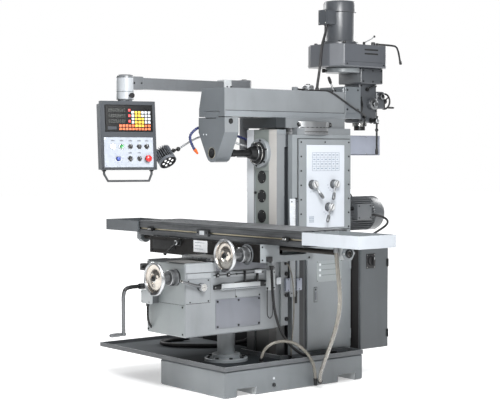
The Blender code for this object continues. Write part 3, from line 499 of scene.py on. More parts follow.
def smooth(points, each=3):
    """Points on a smooth line through the given ones."""
    points = [Vector(p) for p in points]
    ends = [2 * points[0] - points[1], *points, 2 * points[-1] - points[-2]]
    found = []
    for a, b, c, d in zip(ends, ends[1:], ends[2:], ends[3:]):
        for i in range(each):
            t = i / each
            found.append(0.5 * (2 * b + (c - a) * t + (2 * a - 5 * b + 4 * c - d) * t * t + (3 * b - a - 3 * c + d) * t**3))
    return [*found, points[-1]]


def reach(points):
    return sum((b - a).length for a, b in zip(points, points[1:]))


def around(count, r, turn=0.0):
    return [(r * math.cos(turn + 2 * math.pi * i / count), r * math.sin(turn + 2 * math.pi * i / count)) for i in range(count)]


# ------------------------------------------------------------------- cords

KNEE_CABLE = smooth([(0.207, -0.208, 0.6895), (0.207, -0.208, 0.675), (0.208, -0.208, 0.650), (0.213, -0.209, 0.600), (0.219, -0.208, 0.520), (0.227, -0.197, 0.420), (0.236, -0.165, 0.325), (0.244, -0.108, 0.245), (0.248, -0.035, 0.189), (0.246, 0.030, 0.1650), (0.243, 0.090, 0.1605), (0.240, 0.150, 0.1605), (0.238, 0.200, 0.1605)])
DRAIN_HOSE = smooth([(0.868, -0.333, 0.8405), (0.868, -0.333, 0.826), (0.868, -0.331, 0.790), (0.868, -0.322, 0.715), (0.868, -0.312, 0.640), (0.866, -0.304, 0.560), (0.846, -0.295, 0.475), (0.795, -0.270, 0.394), (0.710, -0.220, 0.314), (0.610, -0.157, 0.236), (0.515, -0.096, 0.164), (0.432, -0.042, 0.100), (0.375, 0.005, 0.052), (0.336, 0.042, 0.024)])
TRAY_HOSE = smooth([(0.215, -0.290, 0.152), (0.217, -0.288, 0.185), (0.228, -0.272, 0.230), (0.250, -0.222, 0.264), (0.278, -0.140, 0.266), (0.305, -0.066, 0.225), (0.322, -0.008, 0.150), (0.326, 0.010, 0.085), (0.324, 0.018, 0.022)])
HEAD_CABLE = smooth([(0.030, 0.361, 2.0755), (0.030, 0.361, 2.066), (0.031, 0.358, 2.040), (0.036, 0.341, 2.000), (0.042, 0.321, 1.960), (0.046, 0.309, 1.915), (0.047, 0.302, 1.860), (0.045, 0.293, 1.790), (0.042, 0.284, 1.730), (0.041, 0.280, 1.696), (0.041, 0.280, 1.6755)])
NOZZLE = smooth([(-0.152, -0.0246, 1.388), (-0.152, -0.040, 1.388), (-0.152, -0.055, 1.388), (-0.152, -0.10, 1.396), (-0.150, -0.25, 1.436), (-0.148, -0.38, 1.468), (-0.148, -0.452, 1.457), (-0.148, -0.499, 1.425), (-0.148, -0.508, 1.394), (-0.148, -0.487, 1.349), (-0.148, -0.459, 1.316)], 8)
LAMP_ARM = smooth([(-0.152, -0.0246, 1.350), (-0.152, -0.040, 1.350), (-0.152, -0.060, 1.350), (-0.154, -0.12, 1.360), (-0.164, -0.25, 1.395), (-0.180, -0.36, 1.415), (-0.207, -0.44, 1.392), (-0.25, -0.517, 1.338)], 14)


def ribbed(points, r, mat, pitch=0.006, depth=0.0009, seg=14):
    """A corrugated conduit: the line is walked at half the pitch and its radius goes in and out."""
    even, left = [points[0]], 0.0
    for a, b in zip(points, points[1:]):
        n = (b - a).length
        at = pitch / 2 - left
        while at <= n:
            even.append(a.lerp(b, at / n))
            at += pitch / 2
        left = n - (at - pitch / 2)
    return even, [r - (depth if i % 2 else 0) for i in range(len(even))]


def cord_of(name, points, r, mat, node, a, b, far_end, lay, stiffness, ribs=None):
    p = Piece()
    if ribs:
        even, radii = ribbed(points, r, mat, *ribs)
        p.tube(even, r, mat, 14, radii=radii)
    else:
        p.tube(points, r, mat, 16)
    made = p.done(name, None if b else a, *( [node] if node else []), angle=60)
    if b:
        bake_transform(made)
    return made, dict(exit=points[0], length=reach(points), diameter=2 * r, far_end=far_end, stiffness=stiffness, lay=lay, path=points)


cords = []
cords.append((*cord_of("knee_cable_conduit", KNEE_CABLE, 0.008, RUBBER, "knee_cable", "column", "knee", "object", "hanging", "medium", (0.008, 0.0008)), []))
cords.append((*cord_of("drain_hose_clear", DRAIN_HOSE, 0.011, HOSE, "drain_hose", "saddle", "table", "fitting", "hanging", "medium", (0.007, 0.0007)), []))
cords.append((*cord_of("tray_hose_clear", TRAY_HOSE, 0.009, HOSE, "tray_hose", "column", None, "fitting", "loose", "stiff", (0.007, 0.0006)), []))
cords.append((*cord_of("head_cable_conduit", HEAD_CABLE, 0.008, RUBBER, "head_cable", "ram", "head", "object", "hanging", "medium"), []))


# ------------------------------------------------------------ base and tray

# Painted light and shade on the base: the +X side takes the darker side enamel, and the ceilings of the lifting
# channels are near black. The channel walls take a pale enamel that stands in for floor light seen through them.
def base_face(c, n):
    if c.z < 0.125 and (n.z < -0.7 and c.z > 0.01 or abs(n.y) > 0.7 and -0.6 < c.y < 0.4):
        return 2 if n.z < -0.7 else 3
    return 1 if n.x > 0.7 else 0


# Painted highlight: the top of the rim takes the pale arm enamel, while its sides take the dark rim enamel.
def tray_face(c, n):
    if n.z > 0.7:
        return 0 if c.z < 0.156 else 2
    return 3 if n.x > 0.7 else 1


skin("base_casting", "column", [PAINT_BASE, PAINT_SIDE, PAINT_DARK, PAINT_ARM], base_face, bevel=0.007, seg=3)
skin("chip_tray", "column", [PAINT_TRAY, PAINT_RIM, PAINT_ARM, PAINT_RIM], tray_face, bevel=0.0015)
p = Piece()
p.hex((0.2995, -0.27, 0.042), (1, 0, 0), 0.012, 0.008, OXIDE)
p.cyl((0.2995, -0.27, 0.078), (0.303, -0.27, 0.078), 0.007, CREAM, 20)
# splash guard along the back of the left wing
p.box((-0.76, 0.0418, 0.1516), (-0.1765, 0.0448, 0.262), PAINT_DARK, 0.0008)
p.box((-0.76, 0.0360, 0.2590), (-0.1765, 0.0440, 0.2620), PAINT_DARK, 0.0008)
for x in (-0.72, -0.54, -0.36, -0.22):
    p.screw((x, 0.0418, 0.240), (0, -1, 0), 0.005, OXIDE, 0.003)
for x in (-0.24, 0.24):
    for y in (-0.57, 0.37):
        p.hex((x, y, 0.1515), (0, 0, 1), 0.013, 0.009, OXIDE)
# where the clear hoses and the cable end
p.lathe((0.215, -0.290, 0.1518), (0, 0, 1), [(0, 0.012), (0.0125, 0.012), (0.0125, 0.028), (0.011, 0.03), (0.0095, 0.03), (0.0095, 0.012), (0.017, 0.011), (0.017, 0), (0, 0)], OXIDE, 24)
p.box((0.219, 0.2004, 0.1516), (0.257, 0.243, 0.1768), OXIDE, 0.002)
p.lathe((0.238, 0.2006, 0.1605), (0, -1, 0), [(0, 0), (0.0085, 0), (0.0085, 0.014), (0.0083, 0.016), (0.0079, 0.016), (0.0079, 0.0)], BLACK, 20)
p.done("base_fittings", "column")
p = Piece()
for pts, r in ((TRAY_HOSE, 0.009),):
    end, way = pts[-1], (pts[-1] - pts[-2]).normalized()
    p.lathe(end - way * 0.028, way, [(r, 0), (r + 0.003, 0.001), (r + 0.003, 0.018), (r + 0.001, 0.02), (r + 0.001, 0.040), (r - 0.002, 0.042), (0, 0.042)], OXIDE, 22)
tray_end = p.done("tray_hose_fitting", "column")
cords[2][2].append(tray_end)
p = Piece()
end, way = DRAIN_HOSE[-1], (DRAIN_HOSE[-1] - DRAIN_HOSE[-2]).normalized()
p.lathe(end - way * 0.03, way, [(0.011, 0), (0.0138, 0.001), (0.0138, 0.018), (0.012, 0.02), (0.012, 0.026), (0.009, 0.03), (0, 0.03)], OXIDE, 22)
drain_end = p.done("drain_hose_fitting", "saddle")
cords[1][2].append(drain_end)


# ------------------------------------------------------------------ column


def column_face(c, n):
    if c.y < -0.0265 and abs(n.x) > 0.7 and abs(c.x) > 0.066:
        return 1
    if n.y < -0.7 and c.y < -0.09:
        return 2
    return 3 if n.y < -0.7 and c.y < -0.02 and c.x > 0.105 and c.z > 0.2 else 0


skin("column_casting", "column", [PAINT, WAYS, FRONT, CORNER], column_face, bevel=0.004)
p = Piece()
for z in (1.178, 1.069, 0.954, 0.842):
    p.lathe((-0.006, -0.1012, z), (0, -1, 0), [(0, 0.0055), (0.026, 0.0055), (0.028, 0.004), (0.0335, 0.004), (0.0365, 0.0028), (0.0365, 0), (0, 0)], [OXIDE, OXIDE, SEAM, OXIDE, OXIDE, OXIDE], 40)
    for dx, dz in around(4, 0.0312, 0.78):
        p.screw((-0.006 + dx, -0.105, z + dz), (0, -1, 0), 0.0028, TURNED)
p.lathe((-0.061, -0.1012, 1.088), (0, -1, 0), [(0, 0.011), (0.006, 0.011), (0.008, 0.009), (0.008, 0)], BLACK, 20)
# linear scale and its guard on the right edge, with the travel stop rod
p.box((0.1705, -0.046, 0.50), (0.1775, -0.006, 0.842), PAINT_RAIL, 0.001)
p.box((0.1705, -0.046, 0.8425), (0.1775, -0.006, 1.056), CREAM, 0.001)
# Painted shade: a dark sheet on the column side where the gap behind the way lies in shade.
p.box((0.1698, 0.0300, 0.19), (0.1704, 0.0805, 0.80), GAP_SHADE, 0)
for s_ in (1, -1):
    p.box((s_ * 0.1322, -0.1085, 1.4205), (s_ * 0.1352, -0.0415, 1.4492), PAINT_LEDGE, 0.001)
p.box((0.1702, -0.005, 0.46), (0.1712, 0.0135, 1.062), SEAM, 0.0003)
p.box((0.1705, 0.0025, 0.60), (0.177, 0.0105, 1.05), LINE, 0.001)
# the joint round the gear panel
p.box((0.1698, 0.0135, 1.3958), (0.1716, 0.4205, 1.3992), SEAM, 0)
p.box((0.1698, 0.0135, 0.871), (0.1716, 0.4205, 0.8745), SEAM, 0)
for y in (0.0135, 0.4170):
    p.box((0.1698, y, 0.871), (0.1716, y + 0.0035, 1.3992), SEAM, 0)
for i in range(56):
    long_ = 0.012 if i % 5 == 0 else 0.007
    p.box((0.1774, -0.0085 - long_, 0.505 + i * 0.0098), (0.17765, -0.0085, 0.5056 + i * 0.0098), SEAM, 0)
for z in (0.52, 0.78, 1.04):
    p.screw((0.1775, -0.035, z), (1, 0, 0), 0.004)
    p.screw((0.177, 0.0065, z), (1, 0, 0), 0.003)
# covers on the left side and the back, with a sight glass and a drain plug
p.box((-0.1738, 0.095, 0.43), (-0.1698, 0.398, 1.235), PAINT, 0.0015)
for y in (0.107, 0.2465, 0.386):
    for z in (0.442, 0.70, 0.96, 1.223):
        if y != 0.2465 or z in (0.442, 1.223):
            p.screw((-0.1738, y, z), (-1, 0, 0), 0.006, OXIDE, 0.0035)
p.lathe((-0.1738, 0.2465, 1.10), (-1, 0, 0), [(0.024, 0), (0.024, 0.004), (0.0175, 0.007), (0.0165, 0.0045), (0, 0.0045)], [BAR, BAR, BAR, GLASS], 32)
p.hex((-0.1738, 0.2465, 0.50), (-1, 0, 0), 0.012, 0.008, OXIDE)
p.box((0.012, 0.4298, 1.125), (0.150, 0.4330, 1.385), PAINT, 0.0015)
for x in (0.024, 0.138):
    for z in (1.137, 1.373):
        p.screw((x, 0.4330, z), (0, 1, 0), 0.005, OXIDE, 0.003)
# bolts through the turret plate and eye bolt seats
for x, y in ((-0.135, 0.03), (0.135, 0.03), (-0.135, 0.37), (0.135, 0.37)):
    p.screw((x, y, 1.458), (0, 0, 1), 0.009)
p.done("column_trim", "column")


def panel_face(c, n):
    return 1 if c.x > 0.1835 or (c.x > 0.1822 and abs(n.x) < 0.5) else 0


skin("gear_panel", "column", [PAINT, WHITE], panel_face, bevel=0.002)
p = Piece()
for i in range(7):
    z = 1.378 - i * (1.378 - 0.886) / 6
    for y in (0.032, 0.403):
        p.screw((0.182, y, z), (1, 0, 0), 0.0052, OXIDE, 0.003)
for y, z in ((0.216, 1.379), (0.216, 0.8805)):
    p.screw((0.182, y, z), (1, 0, 0), 0.0045, OXIDE, 0.003)
# speed chart: a plain grid of cells
low, high = (0.113, 1.214), (0.322, 1.318)
p.box((0.187, low[0], low[1]), (0.1874, high[0], high[1]), WHITE, 0)
cols, rows = 7, 4
for i in range(cols + 1):
    y = low[0] + (high[0] - low[0]) * i / cols
    p.box((0.1872, y - 0.0013, low[1]), (0.1878, y + 0.0013, high[1]), FAINT, 0)
for k in range(rows + 1):
    z = low[1] + (high[1] - low[1]) * k / rows
    p.box((0.1872, low[0], z - 0.0013), (0.1878, high[0], z + 0.0013), FAINT, 0)
for i in range(cols):
    for k in range(rows):
        y = low[0] + (high[0] - low[0]) * (i + 0.5) / cols
        z = low[1] + (high[1] - low[1]) * (k + 0.5) / rows
        wide = 0.0085 if (i * 5 + k * 3) % 4 else 0.0055
        p.box((0.1872, y - wide, z - 0.0036), (0.18765, y + wide, z + 0.0036), FAINT, 0)
# lever gates and a small square of marks
for y, z, turn in ((0.109, 1.136, -0.9), (0.276, 1.136, -2.2), (0.236, 1.004, -1.57)):
    for k in (-2, -1, 0, 1, 2):
        a = turn + k * 0.42
        at = Vector((0.187, y + 0.043 * math.cos(a), z + 0.043 * math.sin(a)))
        p.cyl(at, at + Vector((0.0006, 0, 0)), 0.0034, FAINT, 14, 0.0001)
for i in range(4):
    for k in range(4):
        p.box((0.187, 0.09 + i * 0.0095, 0.918 + k * 0.0095), (0.1876, 0.0965 + i * 0.0095, 0.9245 + k * 0.0095), FAINT, 0)
p.done("gear_panel_trim", "column")

FACE_ = steel("lever_face", (226, 227, 228), 0.36, (1, 1, 1), vary=0.03, depth=0.00001, metal=0.6)
LEVERS = {"gear_lever_1": ((0.109, 1.136), (0.153, 1.064)), "gear_lever_2": ((0.276, 1.136), (0.237, 1.056)), "gear_lever_3": ((0.236, 1.004), (0.192, 0.928))}
for name, ((y, z), (ty, tz)) in LEVERS.items():
    p = Piece()
    p.lathe((0.1876, y, z), (1, 0, 0), [(0, 0.0372), (0.018, 0.0372), (0.0190, 0.0365), (0.0205, 0.0365), (0.0228, 0.034), (0.0245, 0.028), (0.0245, 0.010), (0.0265, 0.008), (0.0265, 0.0), (0, 0)], [FACE_, OXIDE, SATIN, SATIN, SATIN, BAR, OXIDE, BAR, OXIDE], 40)
    a, b = Vector((0.206, y, z)), Vector((0.232, ty, tz))
    way = (b - a).normalized()
    n = (b - a).length + 0.009
    p.lathe(a, way, [(0, 0.015), (0.0078, 0.015), (0.0066, 0.032), (0.0062, n * 0.52), (0.0092, n * 0.58), (0.0102, n * 0.78), (0.0092, n * 0.95), (0.006, n), (0, n)], [SATIN] * 4 + [BAR] * 4, 22)
    p.box((0.2243, y - 0.0165, z - 0.0024), (0.2251, y + 0.0165, z + 0.0024), SEAM, 0, matrix=Matrix.Translation((0, y, z)) @ Matrix.Rotation(math.atan2(tz - z, ty - y), 4, "X") @ Matrix.Translation((0, -y, -z)))
    p.done(name + "_chrome", name, name)

skin("rear_box", "column", [PAINT_PALE], bevel=0.003)
p = Piece()
p.box((-0.0605, 0.868, 1.31), (-0.0592, 0.8692, 1.416), LINE, 0)
for i in range(7):
    p.box((-0.0605, 0.87, 1.32 + i * 0.014), (-0.0592, 0.886 if i % 3 else 0.893, 1.3212 + i * 0.014), LINE, 0)
for y in (0.46, 0.62, 0.78):
    for z in (1.312, 1.414):
        p.screw((-0.06, y, z), (1, 0, 0), 0.0035, TURNED, 0.002)
p.box((-0.058, 0.445, 1.306), (-0.0602, 0.855, 1.308), SEAM, 0)
p.done("rear_box_trim", "column")

# main motor: ribbed body, domed fan cover, terminal box
p = Piece()
AX = Vector((0, 0, 0.95))
p.lathe((0, 0.4306, 0.95), (0, 1, 0), [(0, 0), (0.122, 0), (0.125, 0.003), (0.125, 0.02), (0.122, 0.023), (0.098, 0.026), (0.094, 0.04), (0.094, 0.27), (0.098, 0.275), (0.104, 0.277), (0.1045, 0.34), (0.098, 0.354), (0.08, 0.361), (0, 0.3615)], PAINT_MOTOR, 56)
for i in range(36):
    a = 2 * math.pi * i / 36
    spin = Matrix.Translation((0, 0, 0.95)) @ Matrix.Rotation(a, 4, "Y")
    p.box((-0.0016, 0.466, 0.09), (0.0016, 0.706, 0.1035), PAINT_MOTOR, 0.0008, 1, matrix=spin)
for r in (0.026, 0.042, 0.058):
    for i in range(12):
        a = 2 * math.pi * i / 12
        spin = Matrix.Translation((0, 0, 0.95)) @ Matrix.Rotation(a, 4, "Y")
        p.box((-r * 0.17, 0.7905, r), (r * 0.17, 0.7932, r + 0.010), SEAM, 0.0005, 1, matrix=spin)
p.box((0.061, 0.522, 0.921), (0.134, 0.631, 1.009), PAINT_MOTOR, 0.004, 3)
p.box((0.132, 0.519, 0.918), (0.1405, 0.634, 1.012), PAINT_BEAM, 0.003, 3)
for y in (0.53, 0.623):
    for z in (0.93, 1.0):
        p.screw((0.1395, y, z), (1, 0, 0), 0.0045)
p.lathe((0.100, 0.6305, 0.944), (0, 1, 0), [(0, 0), (0.014, 0), (0.014, 0.008), (0.011, 0.009), (0.011, 0.02), (0.009, 0.022), (0, 0.022)], BLACK, 18)
p.lathe((0.095, 0.5215, 0.985), (0, -1, 0), [(0, 0), (0.011, 0), (0.011, 0.008), (0.009, 0.009), (0.009, 0.016), (0, 0.016)], BLACK, 18)
for i in range(4):
    a = math.pi / 4 + i * math.pi / 2
    p.hex((0.112 * math.cos(a), 0.4536, 0.95 + 0.112 * math.sin(a)), (0, 1, 0), 0.009, 0.006, OXIDE)
p.torus((0, 0.585, 1.052), (0, 1, 0), 0.016, 0.0045, OXIDE, 24, 10)
p.done("main_motor_body", "column", "main_motor")

p = Piece()
feed = smooth([(0.100, 0.648, 0.944), (0.1006, 0.6815, 0.9427), (0.1137, 0.7116, 0.9376), (0.1393, 0.7307, 0.9285), (0.1695, 0.7323, 0.9153), (0.1935, 0.7161, 0.8994), (0.2045, 0.6895, 0.8829), (0.2032, 0.6604, 0.8665), (0.1928, 0.6332, 0.8499), (0.1766, 0.6096, 0.8325), (0.1573, 0.5897, 0.8135), (0.1376, 0.5733, 0.7918), (0.12, 0.56, 0.7665)], 4)
p.tube(feed, 0.0068, RUBBER, 14)
made = p.done("main_motor_lead", "column")
cords.append((made, dict(exit=feed[0], length=reach(feed), diameter=0.0136, far_end="object", stiffness="medium", lay="loose", path=feed), []))
p = Piece()
p.lathe((0.12, 0.56, 0.763), (0, 0, 1), [(0, 0), (0.014, 0), (0.014, 0.009), (0.010, 0.011), (0.010, 0.016), (0, 0.016)], BLACK, 18)
p.done("cabinet_gland", "column")

# ------------------------------------------------------------ switch cabinet

# Painted shade: the shell's faces that look towards -Y, in the narrow space beside the column, are near black.
skin("cabinet_shell", "column", [PAINT_CAB, CABINET_SHADE], lambda c, n: 1 if n.y < -0.7 else 0, bevel=0.003)
p = Piece()
for i in range(8):
    p.box((-0.10, 0.6645, 0.60 + i * 0.014), (0.10, 0.667, 0.6055 + i * 0.014), SEAM, 0.0005, 1)
p.box((-0.19, 0.6365, 0.20), (0.19, 0.6405, 0.72), STEEL_DARK, 0.001)
for z, n in ((0.62, 6), (0.47, 5), (0.32, 7)):
    p.box((-0.17, 0.628, z - 0.017), (0.17, 0.6365, z + 0.018), TURNED, 0.001)
    for i in range(n):
        w = 0.33 / n
        p.box((-0.165 + i * w, 0.565 + 0.01 * (i % 2), z - 0.04), (-0.165 + i * w + w * 0.9, 0.63, z + 0.042), CREAM if (i + n) % 3 == 0 else BLACK, 0.003)
p.done("cabinet_inside", "column")
skin("cabinet_door", "cabinet_door", [PAINT_CAB], bevel=0.003)
p = Piece()
p.box((0.252, 0.479, 0.637), (0.2545, 0.553, 0.723), BLACK, 0.001)
for y, z in ((0.486, 0.644), (0.546, 0.644), (0.486, 0.716), (0.546, 0.716)):
    p.screw((0.2545, y, z), (1, 0, 0), 0.0028, TURNED, 0.0015)
for i in range(8):
    a = math.radians(-20 + i * 32)
    p.box((0.2545, 0.516 + 0.033 * math.cos(a) - 0.001, 0.68 + 0.033 * math.sin(a) - 0.001), (0.2549, 0.516 + 0.033 * math.cos(a) + 0.001, 0.68 + 0.033 * math.sin(a) + 0.001), CREAM, 0)
for z in (0.245, 0.665):
    p.cyl((0.2545, 0.6575, z - 0.024), (0.2545, 0.6575, z + 0.024), 0.0052, OXIDE, 18)
    p.box((0.2505, 0.645, z - 0.022), (0.2535, 0.656, z + 0.022), OXIDE, 0.001)
p.box((0.252, 0.438, 0.1665), (0.2523, 0.4395, 0.756), SEAM, 0)
p.done("cabinet_door_trim", "cabinet_door")
p = Piece()
p.lathe((0.2546, 0.522, 0.68), (1, 0, 0), [(0, 0.0105), (0.022, 0.0105), (0.0265, 0.008), (0.0285, 0.003), (0.0285, 0), (0, 0)], BLACK, 36)
p.box((0.2645, 0.5155, 0.654), (0.28, 0.5285, 0.706), BLACK, 0.004, 3)
p.box((0.2795, 0.5205, 0.69), (0.2804, 0.5235, 0.703), CREAM, 0)
p.done("main_switch_knob", "main_switch", "main_switch")

skin("column_door", "column_door", [PAINT], bevel=0.003)
p = Piece()
p.box((0.181, 0.153, 0.572), (0.1822, 0.352, 0.694), PAINT_KNEE, 0.0006)
for y in (0.159, 0.346):
    for z in (0.578, 0.688):
        p.screw((0.1822, y, z), (1, 0, 0), 0.0026, OXIDE, 0.0012)
for k in range(3):
    z = 0.672 - 0.031 * k
    p.cyl((0.1822, 0.178, z), (0.1829, 0.178, z), 0.0075, CREAM, 22, 0.0002)
    p.box((0.1822, 0.190, z - 0.0014), (0.1825, 0.332, z + 0.0014), LINE, 0)
p.box((0.1805, 0.131, 0.457), (0.1818, 0.157, 0.545), SEAM, 0.001)
p.box((0.1812, 0.1335, 0.460), (0.1832, 0.1545, 0.542), PAINT, 0.001)
p.box((0.1825, 0.1385, 0.470), (0.1865, 0.1495, 0.516), PAINT_COVER, 0.002)
p.cyl((0.1825, 0.144, 0.53), (0.1845, 0.144, 0.53), 0.0055, OXIDE, 18)
for z in (0.255, 0.665):
    p.cyl((0.183, 0.4185, z - 0.03), (0.183, 0.4185, z + 0.03), 0.0045, PAINT, 18)
    p.box((0.1805, 0.404, z - 0.028), (0.1826, 0.417, z + 0.028), PAINT, 0.001)
p.done("column_door_trim", "column_door")

p = Piece()
p.box((-0.286, 0.054, 0.1474), (-0.1712, 0.372, 0.372), PAINT_DARK, 0.008, 3)
p.box((-0.281, 0.0515, 0.268), (-0.176, 0.0555, 0.360), PAINT_MOTOR, 0.002)
for x in (-0.273, -0.184):
    for z in (0.276, 0.352):
        p.screw((x, 0.0515, z), (0, -1, 0), 0.005, OXIDE, 0.003)
p.lathe((-0.228, 0.16, 0.3715), (0, 0, 1), [(0.022, 0), (0.022, 0.004), (0.017, 0.008), (0.017, 0.016), (0.013, 0.019), (0, 0.019)], BLACK, 28)
p.done("coolant_tank", "column")

p = Piece()
wash = smooth([(-0.318, 0.0345, 0.186), (-0.322, 0.016, 0.1855), (-0.334, -0.022, 0.180), (-0.362, -0.075, 0.170), (-0.405, -0.135, 0.1648), (-0.475, -0.228, 0.1648), (-0.555, -0.302, 0.1648), (-0.655, -0.328, 0.1648), (-0.740, -0.285, 0.1648), (-0.770, -0.200, 0.1648), (-0.748, -0.125, 0.1648)], 5)
p.tube(wash, 0.0125, RUBBER, 16)
wash_hose = p.done("wash_hose", "column")
p = Piece()
p.lathe((-0.318, 0.0418, 0.186), (0, -1, 0), [(0, 0), (0.020, 0), (0.020, 0.006), (0.0155, 0.008), (0.0155, 0.018), (0.013, 0.02), (0, 0.02)], OXIDE, 22)
p.done("wash_hose_flange", "column")
p = Piece()
end, way = wash[-1], (wash[-1] - wash[-2]).normalized()
p.lathe(end - way * 0.02, way, [(0.0128, 0), (0.0129, 0.02), (0.0095, 0.028), (0.0070, 0.062), (0.0055, 0.064), (0.0045, 0.062), (0.0045, 0.03), (0, 0.03)], OXIDE, 22)
made = p.done("wash_hose_nozzle", "column")
cords.append((wash_hose, dict(exit=wash[0], length=reach(wash), diameter=0.025, far_end="fitting", stiffness="medium", lay="loose", path=wash), [made]))

# --------------------------------------------------- elevating screw pedestal

p = Piece()
p.lathe((0, -0.368, 0.1521), (0, 0, 1), [(0.0503, 0.3475), (0.0503, 0.040), (0.078, 0.0395), (0.080, 0.0375), (0.080, 0.0185), (0.1195, 0.0178), (0.1222, 0.0145), (0.1222, 0), (0, 0)], [PAINT_POST] * 8, 56)
p.lathe((0, -0.368, 0.1521), (0, 0, 1), [(0.0503, 0.3475), (0.0495, 0.3483), (0.036, 0.3483), (0.036, 0.25), (0, 0.25)], TURNED, 56)
for dx, dy in around(8, 0.102, 0.39):
    p.hex((dx, -0.368 + dy, 0.1702), (0, 0, 1), 0.0105, 0.009, OXIDE)
p.done("pedestal_turned", "column", "screw_pedestal")
skin("elevating_screw", "knee", [STEEL], bevel=0)

# ------------------------------------------------------- spindle and arbor

p = Piece()
p.lathe((0, -0.1096, 1.315), (0, -1, 0), [(0, -0.03), (0.08, -0.03), (0.083, 0.0), (0.083, 0.021), (0.0805, 0.0242), (0.0645, 0.0245), (0.062, 0.0245), (0.062, 0.042), (0.0595, 0.0445), (0.047, 0.0445), (0.0455, 0.03), (0, 0.03)], [PAINT, PAINT, PAINT, PAINT, PAINT, SEAM, OXIDE, TURNED, OXIDE, OXIDE, OXIDE], 64)
for dx, dz in around(6, 0.0735, 0.3):
    p.screw((dx, -0.1338, 1.315 + dz), (0, -1, 0), 0.0062, OXIDE, 0.004)
for a in (0.6, 0.6 + math.pi):
    spin = Matrix.Translation((0, 0, 1.315)) @ Matrix.Rotation(a, 4, "Y")
    p.box((-0.008, -0.1645, 0.0465), (0.008, -0.153, 0.061), TURNED, 0.001, 1, matrix=spin)
p.done("spindle_nose", "spindle", "spindle")
p = Piece()
prof, mats = [(0, -0.02), (0.0445, -0.02), (0.045, 0.001), (0.045, 0.0115), (0.0435, 0.0135), (0.0395, 0.014), (0.037, 0.030), (0.0305, 0.0485), (0.0185, 0.0506)], [OXIDE, OXIDE, BAR, BAR, OXIDE, OXIDE, OXIDE, OXIDE]
s = 0.0506
for w in (0.02, 0.012, 0.026, 0.012, 0.022, 0.0099):
    prof += [(0.0185, s + w - 0.0016), (0.0166, s + w - 0.0012), (0.0166, s + w - 0.0004), (0.0185, s + w)]
    mats += [OXIDE, OXIDE, TURNED, OXIDE]
    s += w
prof += [(0.0215, s + 0.0002), (0.0215, 0.179), (0.0200, 0.1805), (0.0138, 0.1805), (0.0138, 0.3165), (0.0125, 0.3182), (0, 0.3182)]
mats += [OXIDE, OXIDE, OXIDE, OXIDE, OXIDE, OXIDE, OXIDE]
p.lathe((0, -0.1546, 1.315), (0, -1, 0), prof, mats, 40)
p.done("arbor_turned", "spindle", "arbor")

# ------------------------------------------------------- turret and ram


# Index 3, the slide, carries the painted shadow under the ram's front.
def turret_face(c, n):
    if 1.459 < c.z < 1.496 and abs(n.z) < 0.5 and abs(Vector((c.x, c.y - 0.16)).length - 0.191) < 0.006:
        return 1
    if c.z > 1.5170 or n.z > 0.7 and c.z > 1.5:
        return 2
    return 3 if c.z > 1.4584 else 0


skin("turret_base", "column", [PAINT_TURRET, TURRET, STEEL_Y, SLIDE], turret_face, bevel=0.002)
p = Piece()
p.lathe((0, 0.16, 0), (0, 0, 1), [(0.180, 1.4222), (0.1918, 1.4222), (0.1926, 1.4232), (0.1926, 1.4375), (0.1920, 1.4382), (0.1920, 1.4392), (0.1926, 1.4400), (0.1926, 1.4600), (0.1915, 1.4612), (0.1915, 1.4632), (0.1926, 1.4644), (0.1926, 1.4955), (0.1912, 1.4968), (0.180, 1.4968)], [TURRET, TURRET, TURRET, SEAM, SEAM, SEAM, TURRET, SEAM, SEAM, SEAM, TURRET, TURRET, TURRET], 120)
for i in range(120):
    a = 2 * math.pi * i / 120
    if abs(math.cos(a)) * 0.1925 > 0.15 or 0.16 + 0.1925 * math.sin(a) > 0.40:
        spin = Matrix.Translation((0, 0.16, 0)) @ Matrix.Rotation(a, 4, "Z")
        p.box((0.1920, -0.0005, 1.4325 if i % 5 else 1.4285), (0.1929, 0.0005, 1.4372), SEAM, 0, matrix=spin)
p.done("turret_scale", "column")
p = Piece()
for y in (0.04, 0.28):
    p.hex((0.15, y, 1.479), (1, 0, 0), 0.013, 0.009, OXIDE)
    p.hex((-0.15, y, 1.479), (-1, 0, 0), 0.013, 0.009, OXIDE)
    p.lathe((0.159, y, 1.479), (1, 0, 0), [(0, 0.008), (0.0055, 0.008), (0.006, 0.006), (0.006, 0)], TURNED, 16)
p.done("turret_bolts", "column")


# Painted shade: the ram's faces that look forward take the darker nose enamel.
def ram_face(c, n):
    if c.z < 1.5175 or (c.z < 1.552 and n.z < -0.2):
        return 1
    return 2 if n.y < -0.5 else 0


skin("ram_casting", "ram", [PAINT_TOP, STEEL_Y, PAINT_NOSE], ram_face, bevel=0.007, seg=3, soft=lambda m: 0.08 if abs(m.x) < 0.08 and m.z < 1.55 else 0.15 if m.z < 1.52 else 1.0)
p = Piece()
p.box((0.1146, -0.462, 1.5496), (0.1154, 0.4285, 1.5522), SEAM, 0)
p.box((0.1146, 0.4335, 1.5572), (0.1154, 0.4352, 1.669), SEAM, 0)
p.tube([(0.115, 0.4285 + 0.0059 * math.sin(t), 1.5572 - 0.0059 * math.cos(t)) for t in [i * math.pi / 12 for i in range(7)]], 0.0008, SEAM, 6)
p.box((0.1142, -0.4625, 1.5165), (0.1162, 0.4295, 1.5490), PAINT_LEDGE, 0.0012)
# block that carries the head
p.box((-0.1135, 0.4384, 1.5490), (0.1148, 0.5658, 1.7092), PAINT_NOSE, 0.004, 3)
for x0, x1 in ((-0.1135, -0.0755), (0.0755, 0.1148)):
    p.box((x0, 0.4384, 1.5192), (x1, 0.5658, 1.5570), PAINT_NOSE, 0.003, 3)
